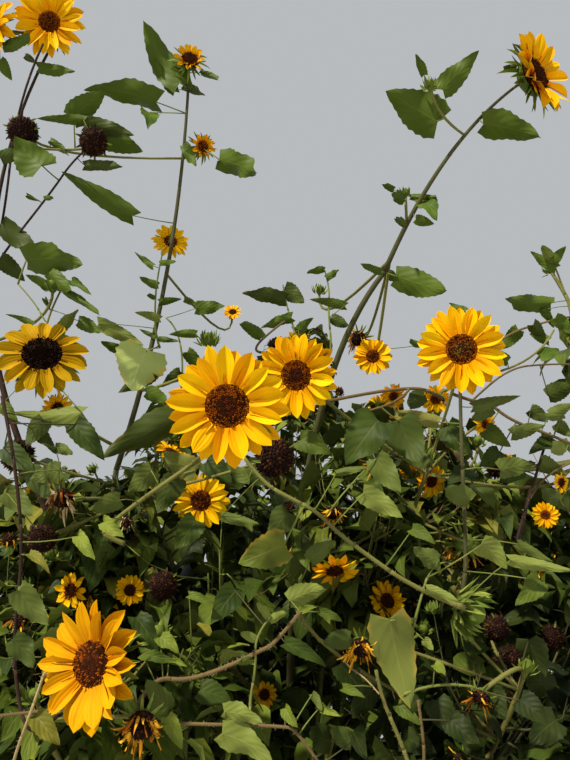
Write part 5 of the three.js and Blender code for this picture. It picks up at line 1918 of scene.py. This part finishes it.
boughHeap, boughLines = Heap("boughs", barkMaterials), []
borne = [mass for mass in masses if mass.bough]
for mass in borne:
    limb = mass.bough
    tint = limbTints.get(mass.name, "green" if mass.seed % 3 else "red")
    boughLines.append((limb.start, limb.bend, limb.end, limb.reference, limb.foot, limb.tip, barkTint[tint]))
boughHeap.addBent(limbShapes["bough"], boughLines)
boughHeap.build("bough", [f"bough_{mass.name}" for mass in borne])

# Bristles stand out of the stems and stalks.
bristle = {
    "long": (1.4, 3.4), "thick": 0.16, "lean": (-0.2, 0.5), "sunk": 0.97, "onStem": 3600, "stem": (0.02, 0.99),
}
hairHeap = Heap("bristles", hairMaterials)
random = seeded(1200)


def addBristle(middle, out, along, wide):
    way = (out + along * random(*bristle["lean"])).normalized()
    first = way.cross(along).normalized()
    hairHeap.add(bristleShape, middle + out * wide * bristle["sunk"], first * bristle["thick"],
                 way.cross(first) * bristle["thick"], way * random(*bristle["long"]), 0)


for limb, dense in hairyLines:
    for k in range(int((limb.end - limb.start).length * dense)):
        share, turn = random(), random(0, 2 * math.pi)
        along = limb.tangent(share)
        normal = limb.reference.cross(along).normalized()
        addBristle(limb.point(share), around(normal, along.cross(normal), turn), along, limb.radius(share))
for k in range(bristle["onStem"]):
    share, turn = random(*bristle["stem"]), random(0, 2 * math.pi)
    addBristle(stemPoint(share), Vector((math.cos(turn), math.sin(turn), 0)), up, stemRadius(share))
hairHeap.build("bough", [])

# The main stem: ribbed, with knots at even steps up it and ridges at its flared foot.
stemForm = {
    "sides": 40, "steps": 90, "spacing": 1.2, "stretch": 15, "ribs": 10, "ribDepth": 0.045,
    "knots": 11, "knotSwell": 0.07, "knotWidth": 0.004, "knotsFrom": 0.03,
    "ridges": 5, "ridgeDepth": 0.10, "ridgeFade": 2.5,
}


def stemWidth(share, turn):
    above = share * stem["height"] / stem["flareHeight"]
    knot = math.exp(-((share * stemForm["knots"]) % 1 - 0.5) ** 2 / stemForm["knotWidth"])
    ridge = math.exp(-above * stemForm["ridgeFade"]) * (math.cos(turn * stemForm["ridges"]) - 1) * 0.5
    wide = stemRadius(share) * (1 + stemForm["ribDepth"] * (math.cos(turn * stemForm["ribs"]) - 1))
    wide *= 1 + stemForm["knotSwell"] * knot * (0 if share < stemForm["knotsFrom"] else 1)
    return wide * (1 + stemForm["ridgeDepth"] * ridge)


def makeStem():
    bm = tube(stemForm["sides"], stemForm["steps"], 1, True)
    wrapFlat(bm, stemForm["stretch"])
    for corner in bm.verts:
        share = max(corner.co.z, 0) ** stemForm["spacing"]
        turn = math.atan2(corner.co.y, corner.co.x)
        out = Vector((math.cos(turn), math.sin(turn), 0))
        corner.co = (stemPoint(share) + out * stemWidth(share, turn)) * metres
    for face in bm.faces:
        face.smooth = True
    bmesh.ops.recalc_face_normals(bm, faces=bm.faces)
    mesh = bpy.data.meshes.new("ribbed_stem")
    bm.to_mesh(mesh)
    bm.free()
    mesh.materials.append(barkMaterials[barkTint["green"]])
    finishPiece("ribbed_stem", mesh, ["main_stem"], stemForm["sides"] * stemForm["steps"] * 2)


makeStem()

# Size
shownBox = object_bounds()
shown, solid = ([round(v, 3) for v in box[1] - box[0]] for box in (shownBox, cadBox))
print("size:", shown, "solids:", solid)
